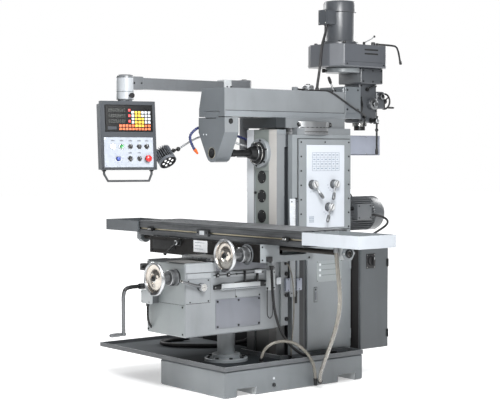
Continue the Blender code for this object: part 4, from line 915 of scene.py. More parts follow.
# oil filler cap with a knurled edge
p.lathe((0.0, 0.245, 1.6745), (0, 0, 1), [(0.044, 0), (0.044, 0.005), (0.036, 0.007), (0.034, 0.012), (0.034, 0.034), (0.030, 0.04), (0.026, 0.041), (0.012, 0.041), (0.011, 0.047), (0, 0.048)], [OXIDE, OXIDE, BAR, BAR, RING, BAR, BAR, OXIDE, OXIDE], 48)
for dx, dy in around(36, 0.0338):
    p.cyl((dx, 0.245 + dy, 1.690), (dx, 0.245 + dy, 1.704), 0.0011, BAR, 6, 0.0002)
for y in (-0.40, -0.10, 0.12, 0.38):
    p.lathe((-0.02, y, 1.6748), (0, 0, 1), [(0, 0.0012), (0.007, 0.0012), (0.0085, 0.0003)], OXIDE, 18)
p.box((0.062, 0.064, 1.6742), (0.088, 0.0885, 1.6965), PAINT_TOP, 0.002, 2)
p.lathe((0.075, 0.088, 1.6845), (0, 1, 0), [(0, 0), (0.0092, 0), (0.0092, 0.005), (0.0072, 0.006), (0.0072, 0.012), (0, 0.012)], BLACK, 18)
for y in (0.455, 0.54):
    for z in (1.575, 1.69):
        p.screw((0.1148, y, z), (1, 0, 0), 0.006, OXIDE, 0.003)
p.done("ram_trim", "ram")

p = Piece()
a, b = Vector((0.06, 0.398, 1.6755)), Vector((0.06, 0.353, 1.766))
p.lathe(a, (0, 0, 1), [(0, 0.014), (0.011, 0.014), (0.0135, 0.011), (0.0135, 0), (0, 0)], OXIDE, 24)
way, n = (b - a).normalized(), (b - a).length
p.lathe(a, way, [(0, 0.006), (0.006, 0.006), (0.005, n * 0.55), (0.0085, n * 0.6), (0.0095, n * 0.8), (0.0075, n * 0.97), (0.004, n), (0, n)], [CHROME, CHROME, BLACK, BLACK, BLACK, BLACK, BLACK], 20)
p.done("ram_lock_handle", "ram_lock", "ram_lock_lever")

# Painted shade: the arbor support's front and lower faces take the darker nose enamel.
skin("arbor_support", "arbor_support", [PAINT_TOP, PAINT_NOSE], lambda c, n: 1 if n.y < -0.5 or n.z < -0.2 else 0, bevel=0.004, soft=lambda m: 0.12 if m.z > 1.494 else 1.0)
p = Piece()
p.box((-0.051, -0.4697, 1.5065), (0.041, -0.4686, 1.5105), SEAM, 0)
p.lathe((0, -0.4688, 1.315), (0, -1, 0), [(0.0145, -0.02), (0.0145, 0.0), (0.022, 0.0014), (0.026, 0.0014), (0.027, 0.0002), (0.029, 0.0002), (0.0300, 0.0012), (0.0325, -0.001)], [OXIDE, OXIDE, OXIDE, SEAM, SEAM, STRIP, STRIP], 44)
p.lathe((0.1178, -0.426, 1.491), (1, 0, 0), [(0, 0.0006), (0.009, 0.0006), (0.010, 0.0016), (0.015, 0.0014), (0.016, 0)], [SEAM, OXIDE, OXIDE, OXIDE], 26)
for x, z in ((-0.074, 1.418), (-0.048, 1.418)):
    p.lathe((x, -0.4688, z), (0, -1, 0), [(0, 0.0018), (0.0035, 0.0018), (0.0045, 0.001), (0.0045, 0)], CREAM, 18)
p.lathe((0.0, -0.42, 1.3676), (0, 0, 1), [(0, 0.006), (0.006, 0.006), (0.0075, 0.004), (0.0075, -0.01)], BRASS, 18)
p.done("arbor_support_trim", "arbor_support")

# ---------------------------------------------------------- lamp, nozzle


def lamp_piece():
    p = Piece()
    axis = Vector((0.66, 0.05, -0.72)).normalized()
    c = Vector((-0.297, -0.577, 1.296))
    # Painted highlight and shade: the fins are lighter than the dark body in the grooves between them.
    p.lathe(c, axis, [(0, -0.052), (0.020, -0.052), (0.026, -0.048), (0.036, -0.034), (0.044, -0.030), (0.045, 0.026), (0.0517, 0.030), (0.052, 0.044), (0.0505, 0.046), (0.047, 0.046), (0.046, 0.043), (0, 0.043)], [OXIDE] * 6 + [FIN_HIGHLIGHT] * 3 + [BLACK] * 2, 48)
    spin = Matrix.Translation(c) @ turn_to(axis)
    for i in range(24):
        at = spin @ Matrix.Rotation(2 * math.pi * i / 24, 4, "Z")
        p.box((0.032, -0.0014, -0.045), (0.0515, 0.0014, 0.026), FIN_HIGHLIGHT, 0.0006, 1, matrix=at)
    for count, r in ((1, 0.0), (6, 0.027)):
        for dx, dy in around(count, r, 0.2):
            p.lathe((dx, dy, 0.0428), (0, 0, 1), [(0.0072, 0), (0.0072, 0.0008), (0.0056, 0.0022), (0, 0.0026)], LED, 14, matrix=spin)
    p.tube([c - axis * 0.02, (c - axis * 0.02).lerp(Vector((-0.25, -0.517, 1.338)), 0.5), (c - axis * 0.02).lerp(Vector((-0.25, -0.517, 1.338)), 0.84)], 0.0078, OXIDE, 14)
    at = (c - axis * 0.02).lerp(Vector((-0.25, -0.517, 1.338)), 0.62)
    p.lathe(at, Vector((-0.25, -0.517, 1.338)) - at, [(0.0078, 0), (0.0125, 0.002), (0.0125, 0.010), (0.0078, 0.012)], OXIDE, 20)
    return p


lamp_piece().done("lamp_head_finned", "lamp", "lamp_head")
even, radii = ribbed(LAMP_ARM, 0.0065, BLACK, 0.0042, 0.0009)
p = Piece().tube(even, 0.0065, SATIN, 14, radii=radii)
p.ball((-0.25, -0.517, 1.338), 0.0129, OXIDE)
p.lathe(LAMP_ARM[0] + Vector((0, 0.004, 0)), (0, -1, 0), [(0, 0), (0.016, 0.0), (0.016, 0.010), (0.011, 0.013), (0.011, 0.032), (0.0085, 0.036), (0.0067, 0.036)], OXIDE, 24)
p.done("lamp_arm_gooseneck", "column", "lamp_arm")
total = reach(NOZZLE)
even, radii = ribbed(NOZZLE, 0.0085, HOSE_BLUE, 0.013, 0.0022)
p = Piece().tube(even, 0.0085, HOSE_BLUE, 16, radii=radii)
way = (NOZZLE[-1] - NOZZLE[-2]).normalized()
p.lathe(NOZZLE[-1] - way * 0.030, way, [(0, 0), (0.0092, 0), (0.0098, 0.003), (0.0098, 0.012), (0.006, 0.032), (0.0055, 0.036), (0.004, 0.036), (0.004, 0.02), (0, 0.02)], ORANGE, 24)
p.lathe(NOZZLE[0] + Vector((0, 0.004, 0)), (0, -1, 0), [(0, 0), (0.017, 0.0), (0.017, 0.012), (0.012, 0.014), (0.012, 0.042), (0.009, 0.046), (0.0075, 0.046)], [OXIDE] * 4 + [BRASS] * 2, 24)
p.box((-0.156, -0.062, 1.398), (-0.148, -0.030, 1.404), RED, 0.002)
p.cyl((-0.152, -0.042, 1.386), (-0.152, -0.042, 1.402), 0.004, BRASS, 14)
p.done("coolant_nozzle_links", "column", "coolant_nozzle")

# ------------------------------------------------------------ vertical head

p = Piece()
p.box((-0.070, 0.600, 1.500), (0.070, 0.745, 1.742), PAINT_GEAR, 0.016, 4)
p.lathe((0, 0.5755, 1.60), (0, 1, 0), [(0, 0), (0.083, 0), (0.085, 0.002), (0.085, 0.0375), (0.083, 0.0395), (0, 0.0395)], OXIDE, 48)
p.box((-0.100, 0.582, 1.733), (0.100, 0.765, 1.825), PAINT_GEAR, 0.007, 3)
p.box((-0.097, 0.5815, 1.741), (0.097, 0.5832, 1.796), PAINT_MOTOR, 0.0006)
p.lathe((0, 0.525, 1.797), (0, 0, 1), [(0, 0), (0.102, 0), (0.105, 0.003), (0.105, 0.0245), (0.102, 0.0275), (0, 0.0275)], PAINT, 64)
p.lathe((0.05, 0.69, 1.612), (1, 0, 0), [(0, 0), (0.034, 0), (0.034, 0.046), (0.030, 0.05), (0, 0.05)], PAINT_GEAR, 36)
p.box((0.0, 0.735, 1.585), (0.078, 0.800, 1.690), PAINT_GEAR, 0.009, 3)
p.lathe((-0.03, 0.4235, 1.808), (-0.5, -0.87, 0), [(0, 0), (0.006, 0), (0.006, 0.010), (0.011, 0.012), (0.012, 0.026), (0.009, 0.030), (0, 0.030)], OXIDE, 20)
p.done("head_casting_body", "head", "head_casting")
p = Piece()
# hub of the hand feed, with its chrome cap
p.lathe((0.0995, 0.69, 1.612), (1, 0, 0), [(0.033, 0), (0.033, 0.004), (0.028, 0.007), (0.020, 0.008), (0.019, 0.018), (0.015, 0.021), (0, 0.021)], [OXIDE, BAR, BAR, OXIDE, BAR, BAR], 40)
# feed selector knob, depth stop rod and its nut, quill lock
p.lathe((0.0775, 0.768, 1.66), (1, 0, 0), [(0, 0.022), (0.013, 0.022), (0.018, 0.019), (0.020, 0.012), (0.020, 0.002), (0.022, 0.0), (0, 0)], [OXIDE, BAR, OXIDE, BAR, OXIDE, OXIDE], 36)
p.cyl((0.05, 0.757, 1.50), (0.05, 0.757, 1.59), 0.006, TURNED, 18)
p.lathe((0.05, 0.757, 1.53), (0, 0, 1), [(0.006, 0), (0.013, 0), (0.013, 0.012), (0.006, 0.012)], OXIDE, 24)
p.box((0.038, 0.744, 1.494), (0.062, 0.770, 1.503), OXIDE, 0.002)
p.lathe((0.0695, 0.63, 1.535), (1, 0, 0), [(0, 0.02), (0.008, 0.02), (0.010, 0.016), (0.010, 0)], OXIDE, 22)
p.tube([(0.082, 0.63, 1.535), (0.086, 0.625, 1.515), (0.088, 0.617, 1.486)], 0.0048, OXIDE, 12)
p.ball((0.088, 0.616, 1.484), 0.0085, BLACK)
p.lathe((0.0695, 0.655, 1.70), (1, 0, 0), [(0, 0.016), (0.009, 0.016), (0.011, 0.013), (0.011, 0)], OXIDE, 22)
p.tube([(0.080, 0.655, 1.70), (0.084, 0.668, 1.712), (0.086, 0.70, 1.722)], 0.0042, OXIDE, 12)
p.ball((0.086, 0.702, 1.723), 0.0075, BLACK)
for y in (0.612, 0.735):
    for z in (1.512, 1.572, 1.652, 1.722):
        p.screw((0.07, y, z), (1, 0, 0), 0.0055, OXIDE, 0.003)
        p.screw((-0.07, y, z), (-1, 0, 0), 0.0055, OXIDE, 0.003)
for y in (0.60, 0.68, 0.75):
    p.screw((0.10, y, 1.747), (1, 0, 0), 0.0055, OXIDE, 0.003)
    p.screw((0.10, y, 1.812), (1, 0, 0), 0.0055, OXIDE, 0.003)
for i in range(40):
    a = 2 * math.pi * i / 40
    spin = Matrix.Translation((0, 0, 1.60)) @ Matrix.Rotation(a, 4, "Y")
    p.box((-0.0005, 0.584, 0.0847), (0.0005, 0.594, 0.0853), SEAM, 0, matrix=spin)
p.done("head_trim", "head")
skin("belt_housing", "head", [PAINT_HEAD], bevel=0.007, seg=3)
p = Piece()
for z in (1.906, 1.930):
    p.box((0.159, 0.552, z - 0.0045), (0.1608, 0.664, z + 0.0045), SEAM, 0.0006, 1)
    p.box((-0.1608, 0.552, z - 0.0045), (-0.159, 0.664, z + 0.0045), SEAM, 0.0006, 1)
for x, y in ((0.125, 0.42), (0.125, 0.69), (-0.125, 0.42), (-0.125, 0.69)):
    p.lathe((x, y, 1.9595), (0, 0, 1), [(0, 0.017), (0.008, 0.017), (0.011, 0.014), (0.011, 0.007), (0.006, 0.005), (0.006, 0), (0, 0)], BLACK, 22)
p.lathe((0.105, 0.60, 1.9595), (0, 0, 1), [(0, 0.022), (0.006, 0.022), (0.008, 0.019), (0.008, 0)], OXIDE, 20)
p.tube([(0.105, 0.60, 1.976), (0.108, 0.618, 1.984), (0.116, 0.65, 2.002), (0.12, 0.668, 2.014)], 0.0034, SATIN, 12)
p.ball((0.1205, 0.671, 2.016), 0.007, BLACK)
p.box((-0.1605, 0.385, 1.8405), (0.1605, 0.3862, 1.8425), SEAM, 0)
p.box((0.1592, 0.39, 1.8545), (0.1606, 0.73, 1.8560), SEAM, 0)
p.box((-0.1606, 0.39, 1.8545), (-0.1592, 0.73, 1.8560), SEAM, 0)
for y in (0.41, 0.71):
    p.screw((0.16, y, 1.842), (1, 0, 0), 0.005, OXIDE, 0.003)
    p.screw((-0.16, y, 1.842), (-1, 0, 0), 0.005, OXIDE, 0.003)
p.done("belt_housing_trim", "head")

p = Piece()
p.lathe((0, 0.50, 1.9606), (0, 0, 1), [(0, 0), (0.108, 0), (0.110, 0.002), (0.110, 0.015), (0.107, 0.018), (0.097, 0.020), (0.0935, 0.026), (0.0935, 0.192), (0.0962, 0.1945), (0.098, 0.197), (0.098, 0.247), (0.095, 0.256), (0.088, 0.2605), (0.03, 0.2615), (0, 0.2615)], [PAINT_CAN] * 7 + [SEAM] + [PAINT_CAN] * 6, 64)
for i in range(10):
    spin = Matrix.Translation((0, 0.50, 0)) @ Matrix.Rotation(2 * math.pi * i / 10, 4, "Z")
    for r in (0.03, 0.05, 0.07):
        p.box((r, -r * 0.2, 2.2212), (r + 0.008, r * 0.2, 2.2228), SEAM, 0.0004, 1, matrix=spin)
for dx, dy in around(6, 0.1025, 0.26):
    p.hex((dx, 0.50 + dy, 1.9782), (0, 0, 1), 0.0062, 0.005, OXIDE)
p.box((-0.019, 0.352, 2.077), (0.049, 0.43, 2.16), PAINT_GEAR, 0.004, 3)
p.box((-0.022, 0.345, 2.074), (0.052, 0.3535, 2.163), PAINT_BOX, 0.003, 3)
for x in (-0.012, 0.042):
    for z in (2.085, 2.152):
        p.screw((x, 0.3458, z), (0, -1, 0), 0.004, TURNED, 0.0022)
p.lathe((0.030, 0.361, 2.0775), (0, 0, -1), [(0, 0), (0.0135, 0), (0.0135, 0.008), (0.011, 0.009), (0.011, 0.018), (0.0085, 0.021), (0.0078, 0.021)], BLACK, 20)
p.done("head_motor_body", "head", "head_motor")
conduit = smooth([(0.075, 0.100, 1.6842), (0.0763, 0.125, 1.6828), (0.0795, 0.165, 1.6806), (0.0855, 0.200, 1.6802), (0.0935, 0.235, 1.6806), (0.1035, 0.262, 1.6812), (0.1130, 0.288, 1.6795), (0.1200, 0.316, 1.6725), (0.1240, 0.348, 1.6580), (0.1250, 0.390, 1.6370), (0.1250, 0.450, 1.6060), (0.1238, 0.520, 1.5730), (0.1175, 0.575, 1.5510), (0.1010, 0.615, 1.5390), (0.0715, 0.640, 1.534)], 4)
p = Piece().tube(conduit, 0.0052, RUBBER, 12)
made = p.done("ram_conduit", None)
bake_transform(made)
cords.append((made, dict(exit=conduit[0], length=reach(conduit), diameter=0.0104, far_end="object", stiffness="medium", lay="hanging", path=conduit), []))
p = Piece()
p.lathe((0.041, 0.280, 1.6748), (0, 0, 1), [(0, 0), (0.0145, 0), (0.0145, 0.008), (0.0115, 0.01), (0.0115, 0.022), (0.0088, 0.026), (0.0078, 0.026)], BLACK, 20)
p.done("ram_gland", "ram")

p = Piece()
p.lathe((0.06, 0.72, 1.9605), (0, 0, 1), [(0, 0.028), (0.010, 0.028), (0.013, 0.025), (0.013, 0.006), (0.016, 0.004), (0.016, 0), (0, 0)], OXIDE, 28)
rod = smooth([(0.06, 0.722, 1.977), (0.06, 0.80, 1.977), (0.06, 0.88, 1.976), (0.06, 0.918, 1.970), (0.06, 0.936, 1.945), (0.06, 0.948, 1.905), (0.06, 0.957, 1.864)], 5)
p.tube(rod, 0.006, OXIDE, 16)
p.lathe((0.06, 0.9545, 1.885), (0, 0.09, -0.41), [(0.006, 0), (0.0085, 0.003), (0.0088, 0.016), (0.007, 0.022), (0, 0.0225)], BLACK, 18)
p.done("brake_lever_rod", "brake_lever", "brake_lever")

skin("quill", "quill", [TURNED], bevel=0.0015)
skin("vertical_spindle", "vertical_spindle", [OXIDE], bevel=0.001)

p = Piece()
HW = Vector((0.04, 0.838, 1.633))
box_low, box_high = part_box("quill_handwheel")
p.torus(HW, (0, 1, 0), 0.0455, 0.0056, BLACK, 48, 14)
p.lathe((HW.x, box_low[1] + 0.0005, HW.z), (0, 1, 0), [(0, 0), (0.010, 0), (0.010, HW.y - 0.014 - box_low[1]), (0.016, HW.y - 0.012 - box_low[1]), (0.016, HW.y + 0.006 - box_low[1]), (0.012, HW.y + 0.009 - box_low[1]), (0, HW.y + 0.009 - box_low[1])], [SATIN, SATIN, BLACK, BLACK, BLACK, SATIN], 28)
for k in range(3):
    a = 0.6 + 2 * math.pi * k / 3
    p.tube([HW + Vector((0.014 * math.cos(a), 0.0, 0.014 * math.sin(a))), HW + Vector((0.030 * math.cos(a), -0.003, 0.030 * math.sin(a))), HW + Vector((0.0445 * math.cos(a), 0, 0.0445 * math.sin(a)))], 0.0044, BLACK, 12)
p.lathe(HW + Vector((0.026, 0, -0.0385)), (0, 1, 0), [(0, -0.003), (0.004, -0.003), (0.004, 0.007), (0.006, 0.009), (0.0066, 0.034), (0.0054, 0.0535), (0, 0.055)], BLACK, 18)
p.done("quill_handwheel_turned", "quill_handwheel", "quill_handwheel")

p = Piece()
p.lathe((0.0707, 0.692, 1.512), (1, 0, 0), [(0, 0.061), (0.010, 0.061), (0.014, 0.058), (0.0155, 0.050), (0.0155, 0.036), (0.012, 0.034), (0.012, 0.006), (0.017, 0.004), (0.017, 0), (0, 0)], [SATIN, SATIN, OXIDE, OXIDE, OXIDE, OXIDE, OXIDE, OXIDE, OXIDE], 30)
p.cyl((0.122, 0.692, 1.508), (0.122, 0.692, 1.316), 0.0058, OXIDE, 18)
p.lathe((0.122, 0.692, 1.345), (0, 0, -1), [(0.0058, 0), (0.0085, 0.004), (0.0098, 0.02), (0.0088, 0.037), (0.005, 0.0395), (0, 0.0398)], BLACK, 20)
p.ball((0.122, 0.692, 1.455), 0.0105, OXIDE)
p.done("quill_lever_rod", "quill_lever", "quill_lever")

# --------------------------------------------------------------------- knee


# Painted shade: faces that look along X take the darker side copy of the knee enamel.
def knee_face(c, n):
    if n.z > 0.7 and c.z > 0.7265:
        return 1
    if c.y > -0.11 and abs(n.x) < 0.5 and n.y > 0.5:
        return 1
    return 2 if abs(n.x) > 0.7 else 0


skin("knee_casting", "knee", [PAINT_KNEE, STEEL_Y, KNEE_SIDE], knee_face, bevel=0.006, seg=3)
p = Piece()
# side cover with its screws, feed plate, and the plate below the front seam
p.box((0.1795, -0.581, 0.362), (0.1835, -0.269, 0.522), PAINT_COVER, 0.0015)
for y in (-0.570, -0.425, -0.280):
    for z in (0.373, 0.511):
        p.screw((0.1835, y, z), (1, 0, 0), 0.0062, OXIDE, 0.0035)
p.box((0.1797, -0.443, 0.5245), (0.1808, -0.268, 0.576), KNEE_SIDE, 0.0005)
p.box((0.1797, -0.4445, 0.5245), (0.1803, -0.4428, 0.576), SEAM, 0)
for y in (-0.439, -0.275):
    p.screw((0.1808, y, 0.530), (1, 0, 0), 0.0048, OXIDE, 0.003)
p.box((0.1795, -0.7805, 0.512), (0.1828, -0.620, 0.641), KNEE_SIDE, 0.0015)
p.box((0.1797, -0.7795, 0.5095), (0.1806, -0.6188, 0.5125), SEAM, 0)
p.box((0.1797, -0.6205, 0.5105), (0.1812, -0.6185, 0.642), SEAM, 0)
for y, z in ((-0.755, 0.5195), (-0.632, 0.5195), (-0.632, 0.632), (-0.765, 0.632)):
    p.screw((0.1828, y, z), (1, 0, 0), 0.0045, OXIDE, 0.0025)
p.box((-0.171, -0.7868, 0.338), (0.171, -0.7835, 0.503), PAINT_KNEE, 0.0015)
p.box((-0.173, -0.7849, 0.5022), (0.173, -0.7838, 0.5042), SEAM, 0)
for x in (-0.160, 0.160):
    for z in (0.348, 0.493):
        p.screw((x, -0.7868, z), (0, -1, 0), 0.0052, OXIDE, 0.003)
p.box((0.1797, -0.781, 0.6725), (0.1806, -0.16, 0.6745), SEAM, 0)
p.box((0.1798, -0.779, 0.676), (0.1809, -0.58, 0.7235), PAINT_RAIL, 0.0004)
p.box((0.1798, -0.5798, 0.676), (0.1805, -0.235, 0.7235), PAINT_COVER, 0.0003)
p.box((0.1797, -0.770, 0.6435), (0.1815, -0.615, 0.6705), PAINT_RAIL, 0.0008)
# scale bar between its end caps, and the travel dogs in their rail
p.box((0.180, -0.551, 0.574), (0.198, -0.281, 0.606), PAINT_ARM, 0.002)
p.box((0.1978, -0.548, 0.5765), (0.1986, -0.284, 0.582), LINE, 0)
p.box((0.180, -0.598, 0.577), (0.193, -0.5505, 0.602), OXIDE, 0.002)
p.box((0.180, -0.2815, 0.577), (0.195, -0.238, 0.610), OXIDE, 0.002)
p.slab([(0.182, -0.455, 0.6055), (0.182, -0.300, 0.6055), (0.182, -0.300, 0.6165), (0.182, -0.455, 0.6085)], (0.011, 0, 0), OXIDE, 0.0008)
for y, z in ((-0.592, 0.5895), (-0.245, 0.594)):
    p.screw((0.193, y, z), (1, 0, 0), 0.0035, SATIN)
p.box((0.1805, -0.60, 0.640), (0.187, -0.25, 0.669), PAINT_RAIL, 0.001)
p.box((0.1868, -0.60, 0.652), (0.1874, -0.25, 0.6575), SEAM, 0)
p.box((0.1865, -0.393, 0.612), (0.196, -0.381, 0.671), OXIDE, 0.002)
p.box((0.1865, -0.304, 0.612), (0.196, -0.292, 0.652), OXIDE, 0.002)
p.box((0.1865, -0.316, 0.653), (0.198, -0.271, 0.6715), CREAM, 0.002)
p.screw((0.187, -0.441, 0.6545), (1, 0, 0), 0.0052, OXIDE, 0.003)
for y in (-0.50, -0.575):
    p.box((0.1865, y - 0.010, 0.643), (0.194, y + 0.010, 0.667), OXIDE, 0.002)
    p.screw((0.194, y, 0.655), (1, 0, 0), 0.0045, SATIN, 0.003)
# plate that carries the cable, reading head of the vertical scale, and the cover over the knee's top
p.box((0.1795, -0.228, 0.549), (0.186, -0.163, 0.662), PAINT_ARM, 0.002)
for z in (0.562, 0.649):
    p.screw((0.186, -0.172, z), (1, 0, 0), 0.004, OXIDE, 0.0025)
p.box((0.180, -0.1555, 0.574), (0.1835, -0.152, 0.618), OXIDE, 0.001)
p.box((0.150, -0.1535, 0.578), (0.1835, -0.118, 0.616), CREAM, 0.002)
p.box((0.1655, -0.079, 0.533), (0.1815, -0.0475, 0.607), PAINT_PALE, 0.002)
for z in (0.54, 0.60):
    p.screw((0.1815, -0.0625, z), (1, 0, 0), 0.0032, OXIDE, 0.002)
p.box((0.015, -0.790, 0.7294), (0.174, -0.657, 0.7326), SHEET, 0.001)
p.box((-0.172, -0.787, 0.7294), (0.005, -0.657, 0.7318), STEEL_DARK, 0.0008)
# limit switch box and junction box on the front
p.box((-0.148, -0.838, 0.497), (-0.062, -0.7845, 0.568), PAINT_MOTOR, 0.005, 3)
p.box((-0.150, -0.8435, 0.495), (-0.060, -0.8265, 0.570), PAINT_ARM, 0.003)
for x in (-0.139, -0.071):
    for z in (0.506, 0.559):
        p.screw((x, -0.8435, z), (0, -1, 0), 0.0032, OXIDE, 0.0018)
p.lathe((-0.13, -0.812, 0.498), (0, 0, -1), [(0, 0), (0.012, 0), (0.012, 0.007), (0.0095, 0.008), (0.0095, 0.018), (0.0072, 0.021), (0, 0.021)], BLACK, 18)
p.box((-0.194, -0.82, 0.671), (-0.125, -0.7835, 0.709), BLACK, 0.004, 3)
p.lathe((-0.16, -0.8205, 0.69), (0, -1, 0), [(0, 0.012), (0.006, 0.012), (0.0075, 0.010), (0.0075, 0)], OXIDE, 18)
# seats of the wheel and the crank
p.lathe((0.093, -0.7835, 0.649), (0, -1, 0), [(0.062, -0.002), (0.062, 0.0), (0.0585, 0.0004), (0.048, 0.0004)], PAINT_COVER, 48)
p.lathe((-0.08, -0.7835, 0.595), (0, -1, 0), [(0.036, -0.002), (0.036, 0.002), (0.033, 0.0035), (0.017, 0.0035)], OXIDE, 36)
# bolts of the gib and the cable's elbow gland
for z in (0.375, 0.512, 0.632):
    p.lathe((0.166, -0.066, z), (1, 0, 0), [(0, 0.007), (0.006, 0.007), (0.0065, 0.010), (0.0105, 0.010), (0.0118, 0.0085), (0.0118, 0), (0, 0)], OXIDE, 22)
    p.lathe((-0.166, -0.066, z), (-1, 0, 0), [(0, 0.007), (0.006, 0.007), (0.0065, 0.010), (0.0105, 0.010), (0.0118, 0.0085), (0.0118, 0), (0, 0)], OXIDE, 22)
p.lathe((0.207, -0.208, 0.6908), (0, 0, -1), [(0, 0), (0.0138, 0), (0.0138, 0.009), (0.0112, 0.010), (0.0112, 0.022), (0.0088, 0.026), (0.0078, 0.026)], BLACK, 20)
# left side: cover, oil gauge and lubricator
p.box((-0.1835, -0.60, 0.37), (-0.1795, -0.30, 0.56), PAINT_KNEE, 0.0015)
for y in (-0.588, -0.45, -0.312):
    for z in (0.382, 0.548):
        p.screw((-0.1835, y, z), (-1, 0, 0), 0.0062, OXIDE, 0.0035)
p.lathe((-0.1795, -0.68, 0.47), (-1, 0, 0), [(0.022, 0), (0.022, 0.004), (0.016, 0.006), (0.015, 0.004), (0, 0.004)], [TURNED, TURNED, TURNED, GLASS], 32)
p.done("knee_trim", "knee")

p = Piece()
loop = smooth([(-0.13, -0.812, 0.478), (-0.13, -0.812, 0.455), (-0.13, -0.812, 0.425), (-0.131, -0.806, 0.392), (-0.133, -0.788, 0.362), (-0.134, -0.757, 0.340), (-0.134, -0.722, 0.327), (-0.134, -0.70, 0.329)], 4)
p.tube(loop, 0.0062, RUBBER, 14)
made = p.done("knee_switch_lead", "knee")
cords.append((made, dict(exit=loop[0], length=reach(loop), diameter=0.0124, far_end="object", stiffness="medium", lay="hanging", path=loop), []))

p = Piece()
loop = smooth([(0.1885, -0.2235, 0.560), (0.1885, -0.2235, 0.545), (0.1885, -0.2235, 0.50), (0.1885, -0.2235, 0.44), (0.1885, -0.2215, 0.412), (0.1885, -0.2135, 0.398), (0.1885, -0.204, 0.393), (0.1885, -0.1945, 0.398), (0.1885, -0.1865, 0.412), (0.1885, -0.1845, 0.44), (0.1885, -0.1845, 0.50), (0.1885, -0.1845, 0.545), (0.1885, -0.1845, 0.560)], 4)
p.tube(loop, 0.0022, RUBBER, 10)
made = p.done("knee_dog_lead", "knee")
cords.append((made, dict(exit=loop[0], length=reach(loop), diameter=0.0044, far_end="object", stiffness="limp", lay="hanging", path=loop), []))
p = Piece()
for y in (-0.2235, -0.1845):
    p.lathe((0.1885, y, 0.567), (0, 0, -1), [(0, 0), (0.005, 0), (0.005, 0.008), (0.003, 0.0095), (0, 0.0095)], OXIDE, 14)
p.done("knee_dog_glands", "knee")
oil = smooth([(0.1785, -0.072, 0.690), (0.1865, -0.070, 0.686), (0.193, -0.064, 0.668), (0.1955, -0.050, 0.628), (0.196, -0.038, 0.560), (0.196, -0.033, 0.470), (0.196, -0.036, 0.380), (0.196, -0.044, 0.290), (0.196, -0.053, 0.205), (0.196, -0.056, 0.165)], 4)
p = Piece().tube(oil, 0.0042, HOSE, 12)
made = p.done("knee_oil_line", None)
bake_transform(made)
oil_line = made
p = Piece()
p.lathe((0.165, -0.072, 0.690), (1, 0, 0), [(0, 0), (0.009, 0), (0.009, 0.006), (0.0065, 0.007), (0.0065, 0.015), (0, 0.015)], OXIDE, 16)
p.done("knee_oil_elbow", "knee")
p = Piece()
p.lathe((0.196, -0.056, 0.1512), (0, 0, 1), [(0, 0), (0.011, 0), (0.011, 0.006), (0.007, 0.008), (0.007, 0.018), (0, 0.018)], OXIDE, 16)
made = p.done("oil_tap", "column")
cords.append((oil_line, dict(exit=oil[0], length=reach(oil), diameter=0.0084, far_end="fitting", stiffness="limp", lay="hanging", path=oil), [made]))
p = Piece()
p.box((0.1705, 0.001, 0.535), (0.183, 0.0395, 0.602), PAINT_PALE, 0.002)
for z in (0.542, 0.595):
    p.screw((0.183, 0.02, z), (1, 0, 0), 0.0032, OXIDE, 0.002)
p.done("scale_end", "column")

p = Piece()
p.lathe((0.1832, -0.684, 0.597), (1, 0, 0), [(0, 0.0325), (0.0195, 0.0325), (0.0205, 0.031), (0.0205, 0.008), (0.022, 0.006), (0.022, 0), (0, 0)], [TURNED, SATIN, SATIN, OXIDE, OXIDE, OXIDE], 34)
p.box((0.2154, -0.690, 0.5962), (0.2162, -0.676, 0.5978), OXIDE, 0)
a, b = Vector((0.204, -0.684, 0.597)), Vector((0.208, -0.834, 0.639))
way, n = (b - a).normalized(), (b - a).length
p.lathe(a, way, [(0, 0.008), (0.0088, 0.008), (0.0082, n * 0.4), (0.0066, n * 0.93), (0.0082, n * 0.94), (0.0082, n * 0.995), (0, n)], [BAR, BAR, BAR, TURNED, TURNED, TURNED], 20)
p.done("feed_lever_handle", "feed_lever", "feed_lever")


def handwheel(body, x, seat, wheel, z):
    """A dished wheel with a turned rim, a graduated dial on its seat and a crank grip."""
    p = Piece()
    d = seat - wheel
    rim = [(0.0835 + 0.0075 * math.cos(t), d + 0.001 + 0.0105 * math.sin(t)) for t in [math.pi * (1 - i / 7.0 * 1.5) for i in range(8)]]
    prof = [(0, d + 0.014), (0.010, d + 0.014), (0.013, d + 0.012), (0.013, d + 0.006), (0.020, d + 0.005), (0.024, d + 0.001), (0.045, d - 0.0055), (0.066, d - 0.006), (0.0755, d - 0.002)]
    mats = [OXIDE, OXIDE, OXIDE, TURNED, DISH, DISH, DISH, DISH]
    prof += rim
    mats += [DISH] + [SATIN] * (len(rim) - 1)
    prof += [(0.076, d - 0.010), (0.05, d - 0.012), (0.027, d - 0.012), (0.0225, d - 0.026), (0.0225, 0.052), (0.0225, 0.0505), (0.0385, 0.050), (0.0405, 0.048), (0.0425, 0.012), (0.0455, 0.009), (0.0455, 0.0004), (0, 0.0004)]
    mats += [SATIN, DISH, DISH, BAR, BAR, OXIDE, BAR, SATIN, BAR, BAR, OXIDE, OXIDE]
    p.lathe((x, seat, z), (0, -1, 0), prof, mats, 72)
    for i in range(50):
        a = 2 * math.pi * i / 50
        spin = Matrix.Translation((x, seat, z)) @ Matrix.Rotation(a, 4, "Y")
        p.box((-0.0004, -0.034 if i % 5 else -0.040, 0.0405), (0.0004, -0.020, 0.0428), SEAM, 0, matrix=spin)
    g = Vector((x + 0.030, wheel + 0.004, z - 0.0735))
    p.lathe(g, (0, -1, 0), [(0, 0), (0.0055, 0), (0.0055, 0.010), (0.0075, 0.012), (0.0095, 0.026), (0.0088, 0.040), (0.0068, 0.0475), (0, 0.0488)], [CHROME, CHROME, BLACK, BLACK, BLACK, BLACK, BLACK], 22)
    p.done(body + "_turned", body, body)


handwheel("cross_handwheel", 0.093, -0.784, -0.922, 0.649)
handwheel("table_handwheel", 0.287, -0.45, -0.60, 0.767)

